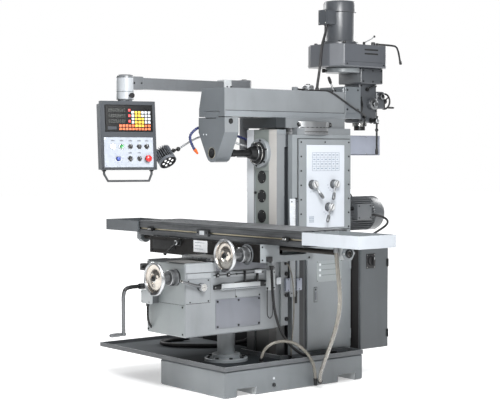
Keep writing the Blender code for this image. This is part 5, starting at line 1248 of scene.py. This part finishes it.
p = Piece()
kl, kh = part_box("knee_crank")
p.lathe((-0.08, -0.7875, 0.595), (0, -1, 0), [(0, 0), (0.020, 0), (0.020, 0.020), (0.0158, 0.024), (0.0158, 0.112), (0.0145, 0.1145), (0, 0.1145)], OXIDE, 32)
arm = smooth([(-0.08, -0.86, 0.595), (-0.08, -0.90, 0.595), (-0.08, -0.955, 0.594), (-0.08, -0.990, 0.584), (-0.08, -1.003, 0.552), (-0.08, -1.004, 0.50), (-0.08, -1.004, 0.42), (-0.08, -1.004, 0.335)], 5)
p.tube(arm[:18], 0.0108, OXIDE, 18)
p.tube(arm[17:], 0.0108, BAR, 18)
p.lathe((-0.08, -0.992, 0.343), (0, -1, 0), [(0, 0), (0.0075, 0), (0.0075, 0.024), (0.0085, 0.027), (0.0108, 0.05), (0.0108, 0.082), (0.0085, 0.0975), (0, 0.0995)], BAR, 24)
p.done("knee_crank_bar", "knee_crank", "knee_crank")

# ------------------------------------------------------------------- saddle


def saddle_face(c, n):
    if n.z > 0.7 and c.z > 0.82:
        return 2
    if c.x > 0.234:
        return 1
    return 0


skin("saddle_casting", "saddle", [APRON, PAINT_SADDLE, STEEL_X], saddle_face, bevel=0.003)
p = Piece()
p.box((-0.192, -0.4535, 0.755), (-0.065, -0.4505, 0.822), LABEL, 0.0008)
for k, w in enumerate((0.09, 0.06, 0.078)):
    p.box((-0.178, -0.4538, 0.808 - k * 0.018), (-0.178 + w, -0.4534, 0.8105 - k * 0.018), FAINT, 0)
# cover that slides over the knee's top with the saddle, with a bright folded edge
p.box((-0.080, -0.612, 0.7336), (0.180, -0.4503, 0.748), SHEET, 0.0015)
p.box((-0.082, -0.6145, 0.7345), (0.182, -0.6105, 0.7515), SATIN, 0.0008)
p.box((-0.0835, -0.6145, 0.7345), (-0.0795, -0.4503, 0.7515), SATIN, 0.0008)
p.box((0.10, -0.640, 0.7336), (0.178, -0.6145, 0.7455), STEEL_DARK, 0.0015)
for x in (0.118, 0.16):
    p.screw((x, -0.628, 0.7455), (0, 0, 1), 0.004, OXIDE, 0.0025)
for x in (-0.61, -0.47, -0.30, -0.02, 0.10, 0.20):
    for z in (0.741, 0.814):
        p.screw((x, -0.4505, z), (0, -1, 0), 0.0045, OXIDE, 0.0028)
p.box((-0.60, -0.4518, 0.752), (-0.37, -0.4505, 0.806), SEAM, 0.001)
p.box((0.06, -0.4535, 0.744), (0.225, -0.4505, 0.812), APRON, 0.002)
for z in (0.742, 0.812):
    for y in (-0.435, -0.10):
        p.screw((0.3995, y, z), (1, 0, 0), 0.0055, OXIDE, 0.0032)
p.box((0.3990, -0.410, 0.7325), (0.4150, -0.374, 0.760), BLACK, 0.004, 3)
p.lathe((0.4075, -0.386, 0.7335), (0, 0, -1), [(0, -0.004), (0.009, -0.004), (0.009, 0.006), (0, 0.006)], BLACK, 18)
# bed of the wheel's dial and the limit switch behind the end block
p.lathe((0.287, -0.4498, 0.767), (0, -1, 0), [(0.0565, 0), (0.0565, 0.002), (0.054, 0.0035), (0.0475, 0.0035)], PAINT_MOTOR, 44)
p.done("saddle_trim", "saddle")

p = Piece()
p.lathe((-0.331, -0.4507, 0.80), (0, -1, 0), [(0, 0.029), (0.010, 0.029), (0.014, 0.026), (0.016, 0.020), (0.016, 0.006), (0.0205, 0.004), (0.0205, 0), (0, 0)], [OXIDE, SATIN, OXIDE, OXIDE, OXIDE, OXIDE, OXIDE], 30)
a, b = Vector((-0.331, -0.4705, 0.80)), Vector((-0.421, -0.4885, 0.732))
way, n = (b - a).normalized(), (b - a).length
p.lathe(a, way, [(0, 0.006), (0.0062, 0.006), (0.0048, n * 0.93), (0, n * 0.94)], OXIDE, 18)
p.ball(b, 0.0102, OXIDE)
p.done("table_feed_handle", "table_feed_lever", "table_feed_lever")

# -------------------------------------------------------------------- table


def table_face(c, n):
    if n.z > 0.7 and c.z > 0.911:
        return 0
    if n.z > 0.5 or abs(n.y) < 0.5 and abs(n.x) < 0.5:
        return 1
    return 1


skin("table", "table", [TABLE_TOP, STEEL_DARK], table_face, bevel=0.0018)
p = Piece()
for x in (-0.649, 0.586):
    p.box((x - 0.022, -0.4405, 0.851), (x + 0.022, -0.4215, 0.877), OXIDE, 0.002)
    p.screw((x - 0.009, -0.4405, 0.864), (0, -1, 0), 0.0055, TURNED, 0.003)
    p.screw((x + 0.009, -0.4405, 0.864), (0, -1, 0), 0.0055, TURNED, 0.003)
p.box((-0.775, -0.4302, 0.896), (0.723, -0.4297, 0.8975), SEAM, 0)
p.box((-0.18, -0.441, 0.846), (-0.075, -0.4215, 0.884), STEEL_DARK, 0.002)
p.box((-0.150, -0.4425, 0.853), (-0.108, -0.4405, 0.877), CREAM, 0.0008)
for x in (-0.168, -0.088):
    p.screw((x, -0.441, 0.865), (0, -1, 0), 0.005, OXIDE, 0.003)
p.box((-0.77, -0.4207, 0.8608), (0.718, -0.4200, 0.8668), STRIP, 0)
p.done("table_trim", "table")
# Painted shade: the floor and inner walls of the right tray take the grey enamel, and its outside the pale one.
def pan_face(c, n):
    return 1 if c.z < 0.846 and n.z > 0.7 or abs(n.z) < 0.3 and (c.x - 0.934) * n.x + (c.y + 0.31) * n.y < -0.05 else 0


skin("left_tray", "table", [PAINT_WING], bevel=0.001)
skin("right_tray", "table", [PAINT_BRIGHT, PAINT], pan_face, bevel=0.001)
for name, x0, x1 in (("left_bracket", -0.965, -0.923), ("right_bracket", 0.848, 0.893)):
    skin(name, "table", [PAINT_ARM if x0 > 0 else PAINT], bevel=0.003)
p = Piece()
for x, way in ((-0.965, -1), (0.893, 1)):
    p.lathe((x, -0.275, 0.80), (way, 0, 0), [(0.0145, 0.001), (0.0235, 0.001), (0.0245, 0.0), (0.0245, -0.002)], OXIDE, 36)
    for dy, dz in around(4, 0.0305, 0.785):
        p.screw((x, -0.275 + dy, 0.80 + dz), (way, 0, 0), 0.0042, OXIDE, 0.003)
for x in (-1.05, -0.86, 0.79, 1.02):
    for y in (-0.40, -0.22):
        p.lathe((x, y, 0.8437), (0, 0, 1), [(0, 0.0025), (0.005, 0.0025), (0.0065, 0.0012), (0.0065, 0)], TURNED, 16)
# bearing flange and nut at the right end of the screw
p.slab([(0.8932, -0.275 + 0.046 * math.cos(a), 0.80 + 0.040 * math.sin(a)) for a in [math.pi / 3 * i for i in range(6)]], (0.007, 0, 0), PAINT_SADDLE, 0.0015)
for dy in (-0.034, 0.034):
    p.screw((0.9002, -0.275 + dy, 0.80), (1, 0, 0), 0.0052, SATIN, 0.003)
p.lathe((0.9000, -0.275, 0.80), (1, 0, 0), [(0.0150, 0), (0.0235, 0), (0.0235, 0.006), (0.0215, 0.008), (0.0150, 0.008)], OXIDE, 32)
# drain of the right tray
p.lathe((0.868, -0.333, 0.8412), (0, 0, -1), [(0.0118, 0.0), (0.0165, 0.0), (0.0165, 0.008), (0.0138, 0.010), (0.0138, 0.034), (0.0122, 0.036), (0.0112, 0.036)], [BRASS] * 3 + [BAR] * 3, 26)
p.lathe((0.868, -0.333, 0.8437), (0, 0, 1), [(0.019, 0), (0.019, 0.0012), (0.011, 0.0016), (0.010, 0.0004), (0, 0.0004)], [CHROME, CHROME, SEAM, SEAM], 26)
p.done("tray_fittings", "table")
prof = [(0, 0)]
lead_low, lead_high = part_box("lead_screw")
for i in range(int((lead_high[0] - lead_low[0]) / 0.006)):
    s = i * 0.006
    prof += [(0.0115, s + 0.0003), (0.0139, s + 0.0018), (0.0139, s + 0.0036), (0.0115, s + 0.0051)]
prof += [(0, prof[-1][1] + 0.0005)]
p = Piece().lathe((lead_low[0], -0.275, 0.80), (1, 0, 0), prof, THREAD, 22)
p.hex((lead_high[0] - 0.0135, -0.275, 0.80), (1, 0, 0), 0.019, 0.012, SATIN)
p.hex((lead_low[0] + 0.006, -0.275, 0.80), (-1, 0, 0), 0.019, 0.005, OXIDE)
p.done("lead_screw_thread", "table", "lead_screw")

# ------------------------------------------------------------------ pendant

skin("pendant_post", "column", [PAINT_BEAM], bevel=0.003)


def arm_face(c, n):
    return 1 if Vector((c.x + 0.22, c.y + 0.896)).length < 0.05 and c.y < -0.86 else 0


skin("pendant_arm", "pendant_arm", [PAINT_BEAM, PAINT_ELBOW], arm_face, bevel=0.004)
p = Piece()
p.lathe((-0.22, -0.896, 1.7265), (0, 0, 1), [(0.047, -0.002), (0.0482, 0.0), (0.0475, 0.007), (0.042, 0.013), (0.030, 0.0165), (0, 0.0175)], PAINT_BEAM, 44)
p.torus((-0.22, -0.896, 1.650), (0, 0, 1), 0.0470, 0.0010, OXIDE, 48, 8)
p.torus((-0.22, -0.896, 1.608), (0, 0, 1), 0.0462, 0.0014, OXIDE, 48, 8)
p.lathe((-0.1735, -0.896, 1.628), (1, 0, 0), [(0.006, 0), (0.006, 0.012), (0.013, 0.014), (0.0145, 0.026), (0.011, 0.029), (0, 0.029)], BLACK, 26)
p.box((-0.2535, -0.872, 1.6625), (-0.1865, -0.795, 1.7345), PAINT_BEAM, 0.006, 3)
p.box((-0.2585, -0.235, 1.6630), (-0.1815, -0.172, 1.7395), PAINT_ARM, 0.008, 3)
p.box((-0.2615, -0.185, 1.6660), (-0.1785, -0.060, 1.7375), PAINT_BEAM, 0.006, 3)
for y in (-0.858, -0.81, -0.218, -0.19):
    p.screw((-0.1865 if y < -0.5 else -0.1815, y, 1.698), (1, 0, 0), 0.005, OXIDE, 0.003)
p.lathe((-0.22, -0.06, 1.7365), (0, 0, 1), [(0.0415, 0), (0.040, 0.003), (0.036, 0.005), (0.016, 0.0065), (0.014, 0.010), (0, 0.010)], [PAINT_BEAM, PAINT_BEAM, PAINT_BEAM, OXIDE, OXIDE], 36)
p.done("pendant_arm_trim", "pendant_arm")

FACE = Matrix.Translation((-0.22, -0.896, 1.405)) @ Matrix.Rotation(math.radians(-16), 4, "Z") @ Matrix.Rotation(math.radians(-5.6), 4, "Y") @ Matrix.Translation((0.017, 0, 0))
W, H, HD = 0.315, 0.375, 0.045
BACK = FACE.inverted()


def box_face(c, n):
    q = BACK @ c
    if q.z < -H / 2 - 0.004:
        return 1
    return 0 if q.x > HD - 0.004 else 2


skin("pendant_box", "pendant", [PAINT_BOX, HANDLE, PAINT_CASE], box_face, bevel=0.004)


def uv(u, v):
    return (u - 0.5) * W, (0.5 - v) * H


def plate(p, u0, v0, u1, v1, x0, x1, mat, bevel=0.0006, seg=1):
    (y0, z1), (y1, z0) = uv(u0, v0), uv(u1, v1)
    return p.box((HD + x0, y0, z0), (HD + x1, y1, z1), mat, bevel, seg)


p = Piece(FACE)
plate(p, 0.085, 0.055, 0.945, 0.447, -0.001, 0.0022, ROW, 0.001)
plate(p, 0.10, 0.066, 0.931, 0.436, 0.0018, 0.0030, GLASS, 0.0005)
SEG = {"a": (0, 1, 1, 1), "b": (1, 0.5, 1, 1), "c": (1, 0, 1, 0.5), "d": (0, 0, 1, 0), "e": (0, 0, 0, 0.5), "f": (0, 0.5, 0, 1), "g": (0, 0.5, 1, 0.5)}
for k, v in enumerate((0.135, 0.215, 0.295)):
    plate(p, 0.135, v - 0.032, 0.475, v + 0.032, 0.0028, 0.0032, ROW, 0.0002)
    for i in range(8):
        y, z = uv(0.155 + i * 0.0385, v + 0.022)
        for key, (xa, za, xb, zb) in SEG.items():
            dy, dz = 0.0062, 0.0165
            lo = (HD + 0.0030, y + xa * dy - 0.0006, z + za * dz - 0.0006)
            hi = (HD + 0.0034, y + xb * dy + 0.0006, z + zb * dz + 0.0006)
            p.box(lo, hi, DIGIT, 0)
    plate(p, 0.505, v - 0.018, 0.542, v + 0.018, 0.0028, 0.0044, LED_RED)
for r in range(4):
    for c in range(6):
        u, v = 0.562 + c * 0.0590, 0.148 + r * 0.0482
        plate(p, u, v, u + 0.044, v + 0.034, 0.0028, 0.0046, YELLOW if c in (1, 2) or c == 3 and r > 1 else CREAM)
for r in range(2):
    for c in range(10):
        u, v = 0.335 + c * 0.0575, 0.343 + r * 0.0475
        plate(p, u, v, u + 0.044, v + 0.034, 0.0028, 0.0046, YELLOW if r == 0 and c in (5, 6, 7) else ORANGE)
plate(p, 0.13, 0.372, 0.285, 0.418, 0.0028, 0.0036, PAINT_BOX)
plate(p, 0.055, 0.53, 0.935, 0.963, -0.001, 0.0020, PANEL, 0.0006)
for u0, v0 in ((0.075, 0.548), (0.915, 0.548), (0.075, 0.945), (0.915, 0.945)):
    y, z = uv(u0, v0)
    p.lathe((HD + 0.0019, y, z), (1, 0, 0), [(0, 0.0012), (0.0022, 0.0012), (0.003, 0.0)], TURNED, 14)
for u0, v0 in ((0.03, 0.025), (0.97, 0.025), (0.03, 0.975), (0.97, 0.975)):
    y, z = uv(u0, v0)
    p.lathe((HD - 0.0005, y, z), (1, 0, 0), [(0, 0.002), (0.003, 0.002), (0.0042, 0.0005)], OXIDE, 16)
BEZELS = {"lamp": (0.209, 0.664), "start_button": (0.367, 0.664), "selector_1": (0.525, 0.664), "selector_2": (0.683, 0.664), "selector_3": (0.82, 0.664), "speed_knob": (0.299, 0.84), "stop_button": (0.515, 0.84), "selector_4": (0.68, 0.84), "emergency_button": (0.83, 0.84)}
for name, (u, v) in BEZELS.items():
    y, z = uv(u, v)
    if name == "emergency_button":
        p.lathe((HD + 0.0018, y, z), (1, 0, 0), [(0.0165, 0), (0.0165, 0.0022), (0.015, 0.003), (0.0125, 0.003), (0.0125, 0.0008), (0.0080, 0.0008), (0.0080, 0.0112), (0, 0.0112)], [OXIDE, OXIDE, OXIDE, BLACK, BLACK, BLACK, BLACK], 36)
        continue
    if name.startswith("selector") or name == "speed_knob":
        p.lathe((HD + 0.0018, y, z), (1, 0, 0), [(0.0145, 0), (0.0145, 0.0012), (0.0135, 0.0018), (0, 0.0006)], [CHROME, CHROME, OXIDE], 32)
        count, span = (3, 0.8) if name != "speed_knob" else (11, 2.35)
        for i in range(count):
            a = math.pi / 2 + span * (2 * i / (count - 1) - 1)
            if name == "speed_knob":
                spin = Matrix.Translation((0, y, z)) @ Matrix.Rotation(a, 4, "X")
                p.box((HD + 0.0019, 0.0215, -0.0006), (HD + 0.0023, 0.0305, 0.0006), FAINT if i % 2 else BLUE, 0, matrix=spin)
                continue
            at = (HD + 0.0019, y + 0.0185 * math.cos(a), z + 0.0185 * math.sin(a))
            p.box((at[0], at[1] - 0.0008, at[2] - 0.0008), (at[0] + 0.0004, at[1] + 0.0008, at[2] + 0.0008), SEAM, 0)
    else:
        p.lathe((HD + 0.0018, y, z), (1, 0, 0), [(0.0152, 0), (0.0152, 0.0026), (0.0138, 0.0042), (0.0118, 0.0042), (0.0116, 0.0005), (0, 0.0005)], [CHROME, CHROME, CHROME, OXIDE, OXIDE], 34)
    if name != "speed_knob":
        for k in (-0.022, 0.0, 0.022):
            plate(p, u + k - 0.0085, v - (0.092 if k else 0.098), u + k + 0.0085, v - 0.076, 0.0018, 0.0022, PRINT, 0)
y, z = uv(*BEZELS["lamp"])
p.lathe((HD + 0.002, y, z), (1, 0, 0), [(0.0115, 0), (0.0115, 0.006), (0.009, 0.0095), (0.004, 0.0112), (0, 0.0114)], LABEL, 30)
# clamps of the handle below the box, door seam and latch on the back
for y in (-0.135, 0.135):
    p.lathe((0.012, y, -H / 2 + 0.0005), (0, 0, -1), [(0.012, 0), (0.012, 0.004), (0.0095, 0.006), (0.0072, 0.006)], OXIDE, 22)
p.box((-HD + 0.0005, -0.136, -0.165), (-HD - 0.0012, 0.136, 0.165), PAINT_CASE, 0.0006)
for z in (-0.15, 0.15):
    for y in (-0.125, 0.125):
        p.lathe((-HD - 0.001, y, z), (-1, 0, 0), [(0, 0.002), (0.004, 0.002), (0.005, 0)], OXIDE, 14)
p.done("pendant_panel", "pendant")


def control(name, profile, mats, extra=None, seg=34):
    u, v = BEZELS[name]
    y, z = uv(u, v)
    p = Piece(FACE)
    p.lathe((HD, y, z), (1, 0, 0), profile, mats, seg)
    if extra:
        extra(p, y, z)
    p.done(name + "_cap", name, name)


control("start_button", [(0, 0.0057), (0.0108, 0.0057), (0.0108, 0.0105), (0.0095, 0.012), (0.008, 0.0116), (0, 0.0114)], GREEN)
control("stop_button", [(0, 0.0057), (0.0108, 0.0057), (0.0108, 0.0105), (0.0095, 0.012), (0.008, 0.0116), (0, 0.0114)], BLACK)
control("emergency_button", [(0, 0.0195), (0.0090, 0.0195), (0.0090, 0.0078), (0.0105, 0.0078), (0.0105, 0.013), (0.0165, 0.0145), (0.0182, 0.0185), (0.0176, 0.0235), (0.0132, 0.0268), (0.006, 0.0279), (0, 0.028)], RED)


def pointer(p, y, z):
    p.box((HD + 0.008, y - 0.0038, z - 0.0105), (HD + 0.015, y + 0.0038, z + 0.0105), BLACK, 0.0016, 2)
    p.box((HD + 0.0146, y - 0.0008, z + 0.001), (HD + 0.0153, y + 0.0008, z + 0.0098), CREAM, 0)


for name in ("selector_1", "selector_2", "selector_3", "selector_4"):
    control(name, [(0, 0.0026), (0.0108, 0.0026), (0.0108, 0.0075), (0.0095, 0.009), (0, 0.009)], BLACK, pointer)


def knob(p, y, z):
    for dy, dz in around(18, 0.0105):
        p.cyl((HD + 0.005, y + dy, z + dz), (HD + 0.0135, y + dy, z + dz), 0.0008, BLUE, 6, 0.0002)
    p.box((HD + 0.0138, y - 0.0007, z + 0.002), (HD + 0.0152, y + 0.0007, z + 0.0095), CREAM, 0)


control("speed_knob", [(0, 0.0026), (0.011, 0.0026), (0.011, 0.0045), (0.0102, 0.0055), (0.0098, 0.0135), (0.0085, 0.0148), (0, 0.0148)], BLUE, knob)

# ------------------------------------------------------------ floor and light

bpy.ops.mesh.primitive_plane_add(size=60, location=(0, 0, 0))
floor = bpy.context.object
floor.name = "floor"
s = Shader("pale_floor")
floor.data.materials.append(s.done(s.mix(s.spread(s.noise(0.7, 3), 0, 1), lin(248, 248, 248), lin(255, 255, 255)), 0.7, None, Emission_Color=(1, 1, 1, 1)))
# Painted light: the floor glows at 0.42 within 1.6 m of the middle, rising to 1.05 by 5 m out.
spots = s.node("ShaderNodeVectorMath", Vector=s.where)
spots.operation = "LENGTH"
s.link(s.spread(spots.outputs["Value"], 0.42, 1.05, 1.6, 5.0), s.main.inputs["Emission Strength"])

# the room is white to look at, and gives a soft light that is stronger from above
world = bpy.data.worlds.new("studio")
scene.world = world
world.use_nodes = True
tree = world.node_tree
sky = tree.nodes["Background"]
way_in = tree.nodes.new("ShaderNodeTexCoord")
parts = tree.nodes.new("ShaderNodeSeparateXYZ")
tree.links.new(way_in.outputs["Generated"], parts.inputs[0])
ramp = tree.nodes.new("ShaderNodeValToRGB")
ramp.color_ramp.elements[0].position, ramp.color_ramp.elements[0].color = 0.0, (0.05, 0.051, 0.053, 1)
ramp.color_ramp.elements[1].position, ramp.color_ramp.elements[1].color = 0.8, (0.30, 0.305, 0.31, 1)
tree.links.new(parts.outputs["Z"], ramp.inputs[0])
seen = tree.nodes.new("ShaderNodeLightPath")
pick = tree.nodes.new("ShaderNodeMix")
pick.data_type = "RGBA"
tree.links.new(seen.outputs["Is Camera Ray"], pick.inputs[0])
tree.links.new(ramp.outputs[0], pick.inputs[6])
pick.inputs[7].default_value = (1, 1, 1, 1)
tree.links.new(pick.outputs[2], sky.inputs["Color"])
sky.inputs["Strength"].default_value = 1.0


def softbox(name, at, to, size, power):
    data = bpy.data.lights.new(name, "AREA")
    data.shape, data.size, data.size_y, data.energy = "RECTANGLE", size[0], size[1], power
    made = bpy.data.objects.new(name, data)
    made.location = at
    made.rotation_mode = "QUATERNION"
    made.rotation_quaternion = (Vector(to) - Vector(at)).to_track_quat("-Z", "Y")
    made.visible_camera = False
    scene.collection.objects.link(made)


softbox("key", (2.0, -1.30, 2.35), (0.0, -0.50, 1.15), (0.9, 1.2), 98)
softbox("front", (-0.4, -4.6, 1.6), (0, -0.3, 0.7), (1.6, 2.0), 14)
softbox("side", (4.6, 0.6, 2.6), (0, 0, 0.9), (1.2, 2.0), 12)
softbox("top", (0.2, -0.2, 5.2), (0, 0, 0), (3.0, 3.0), 70)
softbox("rear", (-0.6, 4.8, 3.0), (0, 0, 1.0), (2.2, 2.5), 150)
softbox("left", (-4.6, -0.2, 3.0), (0, 0, 1.0), (1.6, 2.0), 90)
